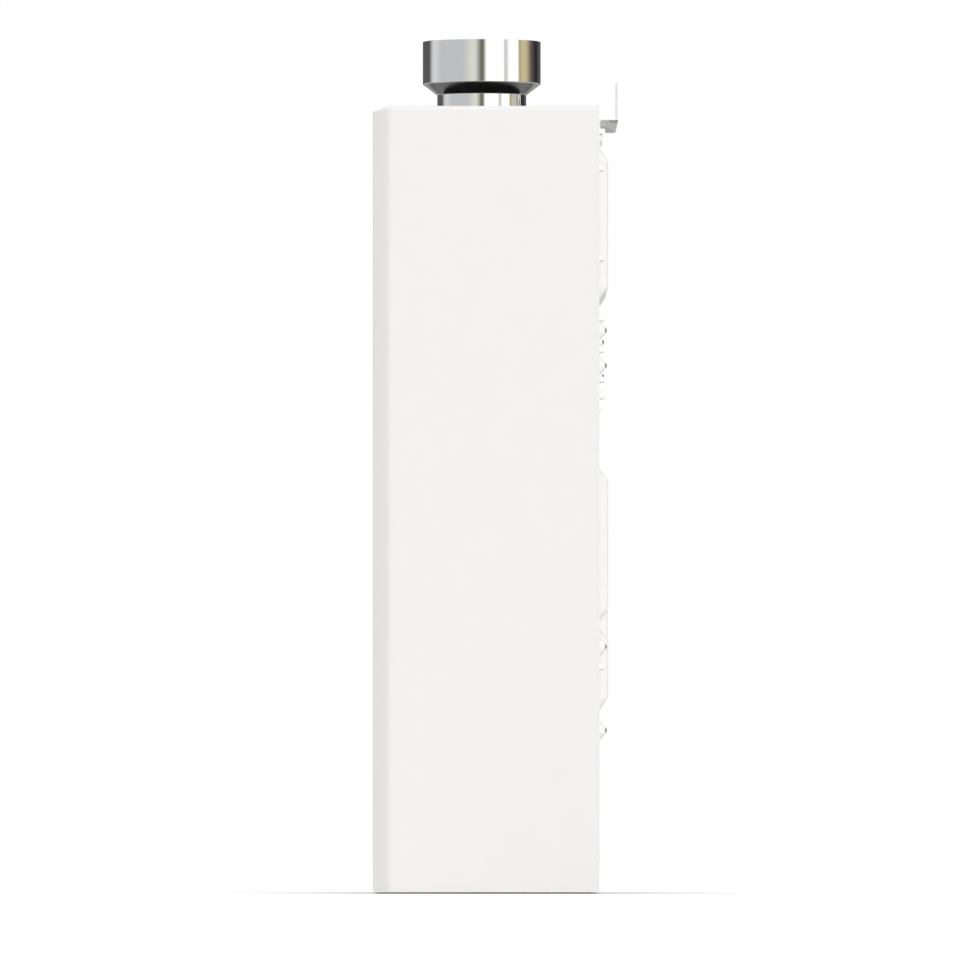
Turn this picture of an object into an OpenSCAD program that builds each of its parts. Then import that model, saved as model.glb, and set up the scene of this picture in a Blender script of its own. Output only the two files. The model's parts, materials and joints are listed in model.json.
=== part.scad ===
// Wall-hung gas water heater. A drawn steel casing holds a burner, a finned copper
// heat exchanger, an exhaust fan and a round flue socket. Millimetres, +Z up, front at -Y.
// The origin is at the middle of the floor under the casing and its wall hanger.

/* [Casing] */
// Width of the casing, left to right
body_w = 330; // [320:1:360]
// Depth of the casing, front face to back plane
body_d = 154; // [150:1:170]
// Height of the casing, without the flue socket
body_h = 534; // [520:1:580]
// Thickness of the casing's steel sheet
sheet_t = 1; // [0.8:0.1:1.2]
// Depth of the tapered edge round the front
taper_d = 10.8; // [6:0.2:12]
// Draw-in of the front face at its top and sides
taper_in = 4; // [2:0.2:5]
// Outside radius of the bend behind the tapered edge
taper_r = 12; // [8:1:14]
// Outside radius of the cover's bends
bend_r = 3; // [2:0.5:4]
// Outside radius of the edge round the front face
front_r = 1.6; // [1.4:0.1:2.5]
// Height of the open skirt under the bottom plate
recess_h = 34; // [32:1:40]
// Clearance inside the cover, so that it lifts off
cover_gap = 0.5; // [0.3:0.1:1]
// Gap between the cover's rear edge and the back panel
seam = 0.2; // [0.1:0.1:0.4]
// Width of the cover's screw tabs
tab_w = 16; // [14:1:22]

/* [Back panel] */
// Depth of the flange that the cover slides over
flange_d = 12; // [8:1:16]
// Height of the panel's lip above the cover
lip_h = 1.4; // [0.6:0.2:2.4]
// Casing side to the pressed areas
emboss_side = 65; // [55:1:85]
// How far the pressed areas stand proud
emboss_h = 6.5; // [4:0.5:8]
// Run of the pressed areas' sloped edges
emboss_slope = 9.5; // [5:0.5:10]
// Height of the upper pressed area
upper_emboss_h = 106; // [80:2:110]
// Drop of the upper pressed area below the casing's top
upper_emboss_drop = 24; // [24:1:40]
// Floor to the middle pressed area
mid_emboss_z = 184; // [184:1:200]
// Height of the middle pressed area
mid_emboss_h = 106; // [80:1:120]
// Floor to the lower pressed area
low_emboss_z = 123; // [110:1:125]
// Height of the lower pressed area
low_emboss_h = 58; // [40:1:58]
// Width of the pressed bridge between the middle and the lower area
emboss_link_w = 110; // [80:2:140]
// Diameter of the two fixing holes near the floor
fixing_hole_d = 6; // [4:0.5:8]
// Distance between those two holes
fixing_span = 240; // [200:5:260]

/* [Wall hanger] */
// Reach of the hanger behind the back plane
hang_reach = 14; // [12:0.5:18]
// Thickness of the hanger's sheet
hang_t = 1.2; // [1:0.1:1.6]
// Width of the hanger
hang_w = 64; // [56:1:80]
// Width of the hanger's ear
ear_w = 52; // [48:1:56]
// Height of the ear above the casing
ear_rise = 23.8; // [22:0.2:30]
// Height of the plate that is screwed to the back panel
hang_plate_h = 20.5; // [20:0.5:23]
// Depth of the side gussets
gusset_h = 5.9; // [5:0.1:9]
// Diameter of the middle hanging hole
hang_hole_d = 10; // [8:0.5:12]
// Diameter of the two side holes
side_hole_d = 6; // [4:0.5:7]
// Distance between the two side holes
side_hole_span = 34; // [30:1:38]

/* [Flue] */
// Inside diameter of the neck
flue_bore = 60; // [56:1:64]
// Inside diameter of the socket
socket_bore = 80; // [76:1:90]
// Wall of the flue adapter
flue_t = 0.7; // [0.5:0.1:1]
// Straight height of the socket
socket_h = 28.8; // [24:0.2:40]
// Height of the cone between neck and socket
cone_h = 8.1; // [5:0.1:12]
// Neck showing between the casing and the cone
neck_rise = 15.6; // [10:0.2:24]
// Flue axis to the back plane
flue_back = 80; // [76:1:84]
// Width of the flue seal's flange under the cover
seal_w = 15; // [13:0.5:18]
// Width of the flue seal that shows round the neck
seal_lip = 9; // [6:0.5:10]
// Thickness of the flue seal's flange
seal_t = 1.5; // [1:0.1:2.5]
// Space between the trim ring round the flue and the casing's front
trim_front = 14; // [12:1:24]
// Thickness of that trim ring
trim_t = 1.2; // [0.8:0.1:2]

/* [Fan] */
// Outside radius of the fan housing
volute_r = 52; // [50:1:54]
// Wall of the fan housing and the hood
duct_t = 1.2; // [0.8:0.1:1.6]
// Space between the fan housing and the cover's top
collar_space = 28; // [26:1:34]
// Radius of the impeller
impeller_r = 38; // [35:1:40]
// Width of the impeller
impeller_w = 44; // [38:1:48]
// Number of impeller blades
vane_n = 24; // [16:1:28]
// Diameter of the fan shaft
shaft_d = 6; // [5:0.5:8]
// Outside diameter of the motor bearings
bearing_d = 16; // [14:0.5:19]
// Width of a motor bearing
bearing_w = 5; // [4:0.5:6]
// Diameter of the fan motor
motor_d = 60; // [50:1:64]
// Space between the fan motor and the cover's front
motor_gap = 9; // [6:0.5:12]
// Diameter of the air pressure switch
switch_d = 44; // [36:1:48]
// Depth of the air pressure switch
switch_len = 22; // [18:1:26]

/* [Burner and exchanger] */
// Space between the casing and the core at each side
side_bay = 57; // [55:1:60]
// Space behind the core
back_bay = 12; // [11:1:14]
// Space in front of the core
front_bay = 32; // [31:1:36]
// Height from the bottom plate to the burner
lower_bay = 95; // [94:1:110]
// Height of the burner box
burner_h = 80; // [76:1:90]
// Sheet of the core
core_t = 1; // [0.8:0.1:1.2]
// Width of the core's joint flange
core_flange = 6; // [5:0.5:8]
// Thickness of a burner blade
blade_t = 10; // [9:0.5:11]
// Space between the outer burner blades and the core's sides
blade_margin = 14; // [10:0.5:20]
// Number of burner blades
blade_n = 9; // [5:2:9]
// Height of the exhaust hood
hood_h = 24; // [20:1:30]
// Height of the fins
fin_h = 50; // [40:1:60]
// Thickness of a fin
fin_t = 0.8; // [0.5:0.1:1]
// Distance between fins
fin_pitch = 8; // [6:0.5:12]
// Outside diameter of the copper pipes
tube_d = 13; // [12:0.5:14]
// Wall of the copper pipes
tube_t = 1; // [0.7:0.1:1.2]
// Space between the coil's outer passes and the core's walls
pass_margin = 6.5; // [4:0.5:9]
// Bend radius of the pipes, at their axis
pipe_bend = 12; // [10:0.5:13]
// Casing side to the risers' axis
riser_inset = 17; // [15:0.5:19]

/* [Connections] */
// Outside diameter of the pipe threads
thread_d = 20.96; // [16:0.02:24]
// Bore of the fittings
fitting_bore = 11; // [9:0.5:12]
// Size across the corners of the fittings' hexagons
hex_d = 31; // [28:0.5:34]
// Height of the fittings' hexagons
hex_h = 8; // [6:0.5:10]
// Diameter of the stems above the bottom plate
stem_d = 20; // [18:0.5:22]
// Height of the stems above the bottom plate
stem_h = 26; // [24:0.5:28]
// Floor to the end of the threads
fit_drop = 6; // [4:0.5:10]
// Row of fittings to the back plane
fit_back = 62; // [60:1:64]
// Casing side to each water fitting
fit_side = 49; // [47:1:51]
// Depth of the sockets that the pipes slide into
socket_depth = 10; // [8:0.5:11]
// Height of the lock nuts
locknut_h = 6; // [5:0.5:8]

/* [Flow sensor and drain] */
// Outside diameter of the flow sensor
sensor_d = 32; // [30:0.5:34]
// Height of the flow sensor
sensor_h = 50; // [48:1:54]
// Radius of the flow rotor
rotor_r = 10; // [8:0.5:11]
// Diameter of the flow rotor's pin
rotor_pin_d = 2; // [1.5:0.1:3]
// Distance from the cold inlet to the drain valve
drain_gap = 34; // [32:1:38]
// Diameter of the drain valve's body
drain_d = 16; // [14:0.5:18]
// Diameter of the drain valve's spindle
spindle_d = 6; // [5:0.5:7]
// Width of the drain handle's wing
wing_w = 28; // [20:1:32]

/* [Gas valve] */
// Width of the gas valve
valve_w = 76; // [72:1:80]
// Depth of the gas valve
valve_d = 48; // [44:1:50]
// Height of the gas valve
valve_h = 46; // [42:1:47]
// Diameter of the solenoid coils
coil_d = 26; // [22:0.5:28]
// Height of the solenoid coils
coil_h = 28; // [27:0.5:30]
// Distance from the middle of the valve to each solenoid
coil_x = 20; // [18:0.5:22]
// Diameter of the solenoid plungers
plunger_d = 8; // [6:0.5:9]
// Lift of the solenoid plungers
plunger_lift = 2.5; // [2:0.1:3]
// Diameter of the modulator coil
modulator_d = 28; // [24:0.5:30]
// Length of the modulator coil
modulator_len = 26; // [20:0.5:28]

/* [Controls] */
// Width of the display panel
display_w = 130; // [124:1:150]
// Height of the display panel
display_h = 56; // [46:1:60]
// Floor to the middle of the display panel
display_z = 192; // [188:1:198]
// Thickness of the display panel
display_t = 3.5; // [3.2:0.1:4]
// Diameter of the push buttons
button_d = 12; // [10:0.5:14]
// Distance between the push buttons
button_pitch = 18; // [17:0.5:20]
// Travel of the push buttons
button_travel = 1.2; // [0.8:0.1:1.6]
// Width of the controller box
controller_w = 86; // [70:1:88]
// Height of the controller box
controller_h = 70; // [60:1:76]
// Depth of the controller box and the igniter module
controller_d = 34; // [28:1:36]
// Width of the igniter module
igniter_w = 52; // [44:1:60]
// Height of the igniter module
igniter_h = 45; // [36:1:60]
// Bore of the cord gland
gland_bore = 7.2; // [6:0.1:9]
// Outside diameter of the cord gland
gland_d = 20; // [18:0.5:22]
// Diameter of the internal leads
lead_d = 5; // [4:0.5:5]

/* [Screws and clearances] */
// Diameter of the sheet-metal screws
screw_d = 3.5; // [3:0.1:4]
// Diameter of the screw heads
screw_head_d = 7; // [6:0.2:8]
// Height of the screw heads
screw_head_h = 2.2; // [1.8:0.1:2.6]
// Length of screw tip behind the back panel
screw_tip = 5.4; // [4:0.2:6]
// Radial clearance of pieces that only slip together
slip_gap = 0.1; // [0.05:0.05:0.15]
// Radial clearance of turning shafts
run_gap = 0.05; // [0.02:0.01:0.08]
// Clearance round buttons and plungers
slide_gap = 0.3; // [0.2:0.05:0.4]

/* [Hidden] */
$fn = 64;

// Overshoot of a cut past the face it opens
cut = 1;
// Overlap that joins two shapes of one piece
bond = 0.5;
// Largest turn between two facets of a rounded corner, in degrees
arc_step = 18;

// Casing planes
half_w = body_w / 2;
y_back = (body_d - hang_reach) / 2;
y_front = y_back - body_d;
y_taper = y_front + taper_d;
y_panel = y_back - sheet_t;
y_rear = y_panel - seam;
y_inner = y_front + sheet_t;
x_inner = half_w - sheet_t;
z_ceiling = body_h - sheet_t;
z_deck = recess_h + sheet_t;
tab_d = 16;
front_tab_y = 40;
rear_tab_y = 34;
tab_ys = [y_inner + front_tab_y, y_panel - rear_tab_y];
tab_screw_len = 8;
tab_screw_tip = 2;
deck_flange_h = 15;
flange_clear = 6;
flange_start = z_deck + deck_flange_h + flange_clear;
emboss_w = body_w - 2 * emboss_side;
low_emboss_top = low_emboss_z + low_emboss_h;
embosses = [
    [body_h - upper_emboss_drop - upper_emboss_h, body_h - upper_emboss_drop, emboss_w],
    [mid_emboss_z, mid_emboss_z + mid_emboss_h, emboss_w],
    [low_emboss_z, low_emboss_top, emboss_w],
    [low_emboss_top - 2 * emboss_slope, mid_emboss_z + 2 * emboss_slope, emboss_link_w]
];
fixing_z = recess_h / 2;
slot_n = 9;
slot_w = 4;
slot_pitch = 15;
slot_front = 52;
slot_rear = 28;

// Wall hanger
y_ear = y_back + hang_reach - hang_t;
shelf_drop = 2.9;
shelf_z = body_h - shelf_drop;
hang_z = shelf_z - hang_plate_h;
hang_screw_inset = 12;
hang_screw_rise = 8.2;
hang_screw_x = hang_w / 2 - hang_screw_inset;
hang_screw_z = hang_z + hang_screw_rise;
hang_screw_len = 8;
ear_z = body_h + ear_rise;
ear_corner = 6;
hang_hole_rise = 11.3;
hang_hole_z = body_h + hang_hole_rise;
gusset_step = 2.7;
gusset_foot = 5.5;
gusset_lean = 1.2;

// Flue and fan
flue_y = y_back - flue_back;
neck_r = flue_bore / 2 + flue_t;
socket_r = socket_bore / 2 + flue_t;
z_cone = body_h + neck_rise;
z_socket = z_cone + cone_h;
z_rim = z_socket + socket_h;
flue_hole_r = neck_r + seal_lip;
trim_cover = 1.7;
trim_bore_r = flue_hole_r - trim_cover;
trim_r = flue_y - y_front - trim_front;
duct_margin = 4;
duct_w = flue_bore + duct_margin;
fan_top = z_ceiling - collar_space;
volute_side = 2;
volute_drop = 3;
fan_x = volute_r - duct_w / 2 - volute_side;
fan_z = fan_top - volute_r - volute_drop;
fan_front = flue_y - duct_w / 2;
fan_rear = flue_y + duct_w / 2;
collar_r = flue_bore / 2 - slide_gap;
collar_top_gap = 4;
collar_h = collar_space - collar_top_gap;
impeller_room = 6;
impeller_y = fan_front + impeller_room;
impeller_disc = 2;
impeller_rim = 8;
vane_t = 1;
hub_wall = 5;
inlet_r = impeller_r - impeller_rim;
shaft_hole_r = 12;
motor_front = y_inner + motor_gap;
motor_cap = 3;
motor_flange_t = 2;
motor_flange_w = 6;
motor_flange_d = motor_d + 2 * motor_flange_w;
motor_room = 1;
shaft_end = 2;
nipple_r = 3;
nipple_len = 8;
nipple_t = 1;
switch_gap = 17;
switch_x = half_w - switch_gap - switch_d / 2;

// Core: burner below, exchanger above
core_x = half_w - side_bay;
core_rear = y_panel - back_bay;
core_front = y_inner + front_bay;
core_y = (core_front + core_rear) / 2;
burner_z = z_deck + lower_bay;
chamber_z = burner_z + burner_h;
hood_gap = 2;
hood_top = fan_z - volute_r - hood_gap;
hood_z = hood_top - hood_h;
hood_lean = 40;
hood_box_rim = 12;
hood_box_w = 2 * (inlet_r + hood_box_rim);
fin_drop = 8;
fin_gap = 0.3;
coil_z = hood_z - fin_drop - fin_h / 2;
tube_r = tube_d / 2;
tube_hole = tube_r - tube_t;
pass_n = 5;
pass_pitch = (core_rear - core_front - 2 * (core_t + pass_margin) - tube_d) / (pass_n - 1);
pass_bend = pass_pitch / 2;
coil_clear = 4;
coil_end = core_x + coil_clear + pass_bend;
riser_x = half_w - riser_inset;
union_len = 14;
union_d = tube_d + 9;
union_clear = 1;
stub_x = riser_x - pipe_bend - union_len / 2 - union_clear;
cold_y = core_y - pass_pitch * (pass_n - 1) / 2;
hot_y = core_y + pass_pitch * (pass_n - 1) / 2;
bracket_t = 1.5;
bracket_flange = 16;
bracket_shift = 4;
bracket_x = core_x - bracket_flange / 2 + bracket_shift;
upper_bracket_drop = 25;
upper_bracket_h = 48;
low_bracket_drop = 32;
low_bracket_h = 81;
upper_bracket = [hood_z - upper_bracket_drop, hood_z - upper_bracket_drop + upper_bracket_h];
low_bracket = [burner_z - low_bracket_drop, burner_z - low_bracket_drop + low_bracket_h];
bracket_margin = 12;
core_screw_x = bracket_x + bracket_flange / 2;
core_screw_thread = 4.8;
overheat_d = 18;
overheat_h = 8;
overheat_drop = 24;
overheat_z = coil_z - fin_h / 2 - overheat_drop;
tag_t = 1;
tag_w = 6;
tag_x = 3;
thermistor_h = 12;
thermistor_wall = 3.5;
thermistor_drop = 80;
thermistor_plug = 14;
thermistor_z = coil_z - thermistor_drop;

// Burner, manifold and electrodes
venturi_r = 6;
venturi_hole = 4.5;
venturi_rise = 12;
venturi_z = burner_z + venturi_rise;
venturi_lip = 3;
venturi_front = core_front - venturi_lip;
venturi_len = 40;
venturi_end = 4;
blade_pitch = (2 * (core_x - core_t - blade_margin) - blade_t) / (blade_n - 1);
blade_xs = [for (i = [0:blade_n - 1]) (i - (blade_n - 1) / 2) * blade_pitch];
port_n = 8;
port_w = 2;
port_deep = 6;
port_pitch = 12;
port_rim = 1.5;
blade_drop = 4;
blade_top = chamber_z - blade_drop;
blade_wall = 1.2;
manifold_s = 16;
manifold_wall = 2;
injector_len = 4;
injector_r = 3.5;
injector_hole = 0.8;
injector_gap = 2;
manifold_rear = venturi_front - injector_gap - injector_len;
manifold_y = manifold_rear - manifold_s / 2;
manifold_end = 8;
manifold_x = blade_xs[blade_n - 1] + venturi_r + manifold_end;
manifold_tab = 6;
electrode_inset = 30;
electrode_rise = 15;
electrode_x = core_x - electrode_inset;
electrode_z = chamber_z + electrode_rise;
electrode_r = 4;
electrode_pin_r = 1.2;
electrode_len = 15;
electrode_cap = 8;
electrode_cap_w = 12;
electrode_nose = 6;
electrode_reach = 22;
electrode_plate_t = 1.5;
electrode_plate_w = 28;
electrode_plate_h = 16;

// Gas and water connections
fit_y = y_back - fit_back;
fit_span = half_w - fit_side;
socket_z = z_deck + stem_h - socket_depth;
hot_jog_rise = 34;
hot_jog_z = z_deck + stem_h + hot_jog_rise;
sensor_top = socket_z + sensor_h;
cold_jog_rise = 24;
cold_jog_z = sensor_top + cold_jog_rise;
rotor_rise = 16;
rotor_space = 20;
rotor_low = socket_z + rotor_rise;
rotor_high = rotor_low + rotor_space;
rotor_hub = 1.5;
rotor_vanes = 5;
rotor_vane_t = 1;
rotor_room = 0.6;
spider_t = 3;
spider_w = 3;
filter_h = 18;
filter_t = 0.6;
filter_gap = 0.2;
filter_end = 1;
drain_x = fit_span - drain_gap;
drain_boss = 4;
drain_boss_r = 7;
drain_branch_r = 5;
drain_branch_rise = 25;
drain_branch_z = socket_z + drain_branch_rise;
drain_top = drain_branch_z + drain_d / 2;
drain_shoulder = 2;
drain_neck_r = drain_d / 2 - drain_shoulder;
drain_neck_len = 12;
drain_neck_z = recess_h - drain_neck_len;
spindle_len = 12;
handle_gap = 1;
handle_h = 13;
handle_wall = 4;
handle_floor = 1;
handle_shoulder = 3;
handle_top = drain_neck_z - handle_gap;
wing_t = 4;
valve_top = socket_z + valve_h;
valve_front = fit_y - valve_d / 2;
gas_rise = 22;
gas_z = socket_z + gas_rise;
outlet_step = 1;
coil_cap = 4;
well_deep = 8;
spring_top = valve_top + coil_h - coil_cap;
spring_solid = 9.5;
plunger_top = spring_top - spring_solid - plunger_lift;
spring_wire = 0.7;
spring_turns = 5;
spring_gap = 0.1;
modulator_cap = 4;

// Display and electrics
display_corner = 4;
display_rim = 4;
display_gap = 0.3;
button_inset = 11;
button_xs = [for (i = [2:-1:0]) display_w / 2 - button_inset - button_pitch * i];
button_flange = 1.5;
button_flange_t = 1.2;
button_back = display_t + slide_gap;
tact_h = 2;
tact_w = 6;
tact_gap = button_travel + slide_gap;
tact_y = y_front + button_back + button_flange_t + tact_gap;
board_y = tact_y + tact_h;
board_t = 1.6;
post_r = 3;
post_inset = 4;
digits_inset = 12;
digits_h = 26;
digits_end = 4;
controller_gap = 6;
controller_y = y_inner + controller_gap;
middle_gap = 18;
controller_x = -middle_gap - controller_w;
box_t = 2;
rib_n = 6;
rib_t = 2;
rib_deep = 3;
rib_margin = 10;
rib_x = controller_x + rib_margin;
rib_pitch = (controller_w - 2 * rib_margin - rib_t) / (rib_n - 1);
igniter_x = middle_gap;
igniter_post_r = 6;
igniter_post_h = 6;
gland_x = -30;
gland_back = 19;
gland_y = y_panel - gland_back;
gland_shoulder = 3;
gland_neck_r = gland_d / 2 - gland_shoulder;
gland_nut_h = 5;
gland_drop = 10;
lead_r = lead_d / 2;
lead_bend = 7;
lead_inset = 15;
lead_rise = 36;
lead_step = 12;
lead_y = controller_y + lead_inset;
lead_low_z = z_deck + lead_rise;
ribbon_inset = 4;
ribbon_y = controller_y + ribbon_inset;
lead_left = -core_x - core_flange - lead_d;
fan_lead_x = lead_left - 2 * lead_d;
supply_rise = 20;
supply_z = z_deck + gland_nut_h + supply_rise;
supply_x = rib_x + rib_t / 2 + rib_pitch / 2;
slit_w = 0.8;
slit_deep = 1;
screw_point = 0.6;

// Plane geometry

function unit(v) = v / norm(v);
function turned(v, a) = [v.x * cos(a) - v.y * sin(a), v.x * sin(a) + v.y * cos(a)];
function before(p, i) = p[(i + len(p) - 1) % len(p)];
function after(p, i) = p[(i + 1) % len(p)];
// Inward normal of an edge of a counter-clockwise outline
function inward(a, b) = turned(unit(b - a), 90);

// The outline with every edge moved inwards by t
function inset(p, t) = [
    for (i = [0:len(p) - 1])
        let (m = inward(before(p, i), p[i]), n = inward(p[i], after(p, i)))
        p[i] + (m + n) * t / (1 + m * n)
];

// The arc of radius r that rounds corner b between a and c
function corner_arc(a, b, c, r) =
    let (
        u = unit(a - b),
        v = unit(c - b),
        half = acos(u * v) / 2,
        centre = b + unit(u + v) * r / sin(half),
        first = b + u * r / tan(half) - centre,
        turn = (180 - 2 * half) * sign(cross(b - a, c - b)),
        steps = max(2, ceil(abs(turn) / arc_step))
    )
    [for (k = [0:steps]) centre + turned(first, turn * k / steps)];

// The outline with a radius at each corner, or a sharp corner where the radius is 0
function rounded(p, radii) = [
    for (i = [0:len(p) - 1])
        each radii[i] > 0 ? corner_arc(before(p, i), p[i], after(p, i), radii[i]) : [p[i]]
];

function rect(x0, y0, x1, y1) = [[x0, y0], [x1, y0], [x1, y1], [x0, y1]];

// Casing outlines: seen from above, from the side as (y, z), and from the front as (x, z)
function cover_plan(rear) = [
    [half_w, rear],
    [-half_w, rear],
    [-half_w, y_taper],
    [-half_w + taper_in, y_front],
    [half_w - taper_in, y_front],
    [half_w, y_taper]
];
function cover_side(rear, base) = [
    [rear, base],
    [rear, body_h],
    [y_taper, body_h],
    [y_front, body_h - taper_in],
    [y_front, base]
];
function cover_face(base) = rect(-half_w, base, half_w, body_h);

// Shared shapes

module box(low, high) translate(low) cube(high - low);
module rod_x(x0, x1, y, z, r) translate([x0, y, z]) rotate([0, 90, 0]) cylinder(r = r, h = x1 - x0);
module rod_y(y0, y1, x, z, r) translate([x, y0, z]) rotate([-90, 0, 0]) cylinder(r = r, h = y1 - y0);
module rod_z(z0, z1, x, y, r) translate([x, y, z0]) cylinder(r = r, h = z1 - z0);
module hex_z(z0, z1, x, y) translate([x, y, z0]) cylinder(d = hex_d, h = z1 - z0, $fn = 6);

// Extrusions of an outline given as (x, y), (x, z) or (y, z)
module along_z(z0, z1) translate([0, 0, z0]) linear_extrude(z1 - z0) children();
module along_y(y0, y1) translate([0, y1, 0]) rotate([90, 0, 0]) linear_extrude(y1 - y0) children();
module along_x(x0, x1) rotate([90, 0, 90]) translate([0, 0, x0]) linear_extrude(x1 - x0) children();

module both_sides() {
    children();
    mirror([1, 0, 0]) children();
}

// Pipe section: a ring, or a full disc where hole is 0
module pipe_section(r, hole) difference() {
    circle(r);
    if (hole > 0) circle(hole);
}

// Straight length of pipe from a point, along one axis
module straight(from, along, length, r, hole) {
    side = abs(along.z) > 0.5 ? [1, 0, 0] : [0, 0, 1];
    up = cross(along, side);
    multmatrix([
        [side.x, up.x, along.x, from.x],
        [side.y, up.y, along.y, from.y],
        [side.z, up.z, along.z, from.z],
        [0, 0, 0, 1]
    ]) linear_extrude(length) pipe_section(r, hole);
}

// Quarter bend of pipe at a corner, from direction u into direction v
module elbow(corner, u, v, r, hole, bend) {
    centre = corner - u * bend + v * bend;
    axis = cross(u, v);
    multmatrix([
        [-v.x, u.x, axis.x, centre.x],
        [-v.y, u.y, axis.y, centre.y],
        [-v.z, u.z, axis.z, centre.z],
        [0, 0, 0, 1]
    ]) rotate_extrude(angle = 90) translate([bend, 0]) pipe_section(r, hole);
}

// Pipe along square corners, with the same bend radius at each
module pipe(points, r, hole, bend) {
    last = len(points) - 1;
    for (i = [0:last - 1]) {
        along = unit(points[i + 1] - points[i]);
        from = points[i] + along * (i > 0 ? bend : 0);
        to = points[i + 1] - along * (i < last - 1 ? bend : 0);
        if (norm(to - from) > 0.01) straight(from, along, norm(to - from), r, hole);
    }
    for (i = [1:1:last - 1])
        elbow(points[i], unit(points[i] - points[i - 1]), unit(points[i + 1] - points[i]), r, hole, bend);
}

// Pan-head screw along +Z with its head's seat at z = 0
module screw(length, tip) {
    difference() {
        translate([0, 0, -screw_head_h]) cylinder(d = screw_head_d, h = screw_head_h);
        for (a = [0, 90]) rotate(a) box(
            [-screw_head_d / 3, -slit_w / 2, -screw_head_h - cut],
            [screw_head_d / 3, slit_w / 2, -screw_head_h + slit_deep]
        );
    }
    cylinder(d = screw_d, h = length - tip);
    if (tip > 0) translate([0, 0, length - tip]) cylinder(d1 = screw_d, d2 = screw_point, h = tip);
}

// Casing

// Solid within the cover's three outlines, with every face moved inwards by t
module cover_solid(rear, base, t) intersection() {
    bend = bend_r - t;
    soft = taper_r - t;
    edge = front_r - t;
    along_z(base, body_h) polygon(rounded(inset(cover_plan(rear), t), [0, 0, soft, edge, edge, soft]));
    along_x(-half_w, half_w) polygon(rounded(inset(cover_side(rear, base), t), [0, 0, soft, edge, 0]));
    along_y(y_front, rear) polygon(rounded(inset(cover_face(base), t), [0, 0, bend, bend]));
}

module front_cover() color("white") difference() {
    union() {
        difference() {
            cover_solid(y_rear, 0, 0);
            cover_solid(y_rear + sheet_t + cut, -sheet_t - cut, sheet_t);
        }
        for (y = tab_ys) both_sides()
            box(
                [x_inner - tab_d, y - tab_w / 2, recess_h - sheet_t],
                [x_inner + sheet_t / 2, y + tab_w / 2, recess_h]
            );
    }
    along_y(y_front - cut, y_inner + cut) display_outline(0);
    rod_z(z_ceiling - cut, body_h + cut, 0, flue_y, flue_hole_r);
    for (y = tab_ys) both_sides()
        rod_z(recess_h - sheet_t - cut, recess_h + cut, x_inner - tab_d / 2, y, screw_d / 2 + slip_gap);
}

// Pressed area from e[0] up to e[1], e[2] wide: its edges lean in and have their full size at y_ref
module pressed(e, y_ref, ya, yb) {
    lean_a = emboss_slope / emboss_h * (ya - y_ref);
    lean_b = emboss_slope / emboss_h * (yb - y_ref);
    x = e[2] / 2;
    intersection() {
        along_z(e[0] - emboss_slope, e[1] + emboss_slope)
            polygon([[-x + lean_a, ya], [x - lean_a, ya], [x - lean_b, yb], [-x + lean_b, yb]]);
        along_x(-x - emboss_slope, x + emboss_slope)
            polygon([[ya, e[0] + lean_a], [yb, e[0] + lean_b], [yb, e[1] - lean_b], [ya, e[1] - lean_a]]);
    }
}

// Flange round the back panel's sides and top, t inside the casing's faces
module flange_outline(t, base) {
    x = half_w - t;
    polygon(rounded(rect(-x, base, x, body_h - t), [0, 0, bend_r, bend_r]));
}

module back_panel() color("whitesmoke") difference() {
    union() {
        along_y(y_panel, y_back)
            polygon(rounded(rect(-half_w, 0, half_w, body_h + lip_h), [0, 0, bend_r, bend_r]));
        along_y(y_panel - flange_d, y_panel + sheet_t / 2) difference() {
            flange_outline(sheet_t + cover_gap, flange_start);
            flange_outline(2 * sheet_t + cover_gap, flange_start - cut);
        }
        for (e = embosses) pressed(e, y_back, y_back - sheet_t / 2, y_back + emboss_h);
    }
    for (e = embosses) pressed(e, y_panel, y_panel - cut, y_panel + emboss_h);
    core_screw_places() rod_y(-sheet_t - cut, sheet_t + cut, 0, 0, screw_d / 2 + slip_gap);
    both_sides() rod_y(y_panel - cut, y_back + cut, hang_screw_x, hang_screw_z, screw_d / 2 + slip_gap);
    both_sides() rod_y(y_panel - cut, y_back + cut, fixing_span / 2, fixing_z, fixing_hole_d / 2);
}

module bottom_plate() color("gainsboro") difference() {
    union() {
        along_z(recess_h, z_deck)
            intersection() {
                polygon(inset(cover_plan(y_back), sheet_t + cover_gap));
                translate([-half_w, y_front]) square([body_w, y_panel - y_front]);
            }
        box(
            [-half_w + flange_d, y_panel - sheet_t, recess_h],
            [half_w - flange_d, y_panel, z_deck + deck_flange_h]
        );
    }
    for (x = [-fit_span, 0, fit_span])
        rod_z(recess_h - cut, z_deck + cut, x, fit_y, stem_d / 2 + slip_gap);
    rod_z(recess_h - cut, z_deck + cut, drain_x, fit_y, drain_neck_r + slip_gap);
    rod_z(recess_h - cut, z_deck + cut, gland_x, gland_y, gland_neck_r + slip_gap);
    for (y = tab_ys) both_sides()
        rod_z(recess_h - cut, z_deck + cut, x_inner - tab_d / 2, y, screw_d / 2 + slip_gap);
    // Air slots between the fittings and the front
    for (i = [0:slot_n - 1]) {
        x = (i - (slot_n - 1) / 2) * slot_pitch;
        box(
            [x - slot_w / 2, fit_y - slot_front, recess_h - cut],
            [x + slot_w / 2, fit_y - slot_rear, z_deck + cut]
        );
    }
}

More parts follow.
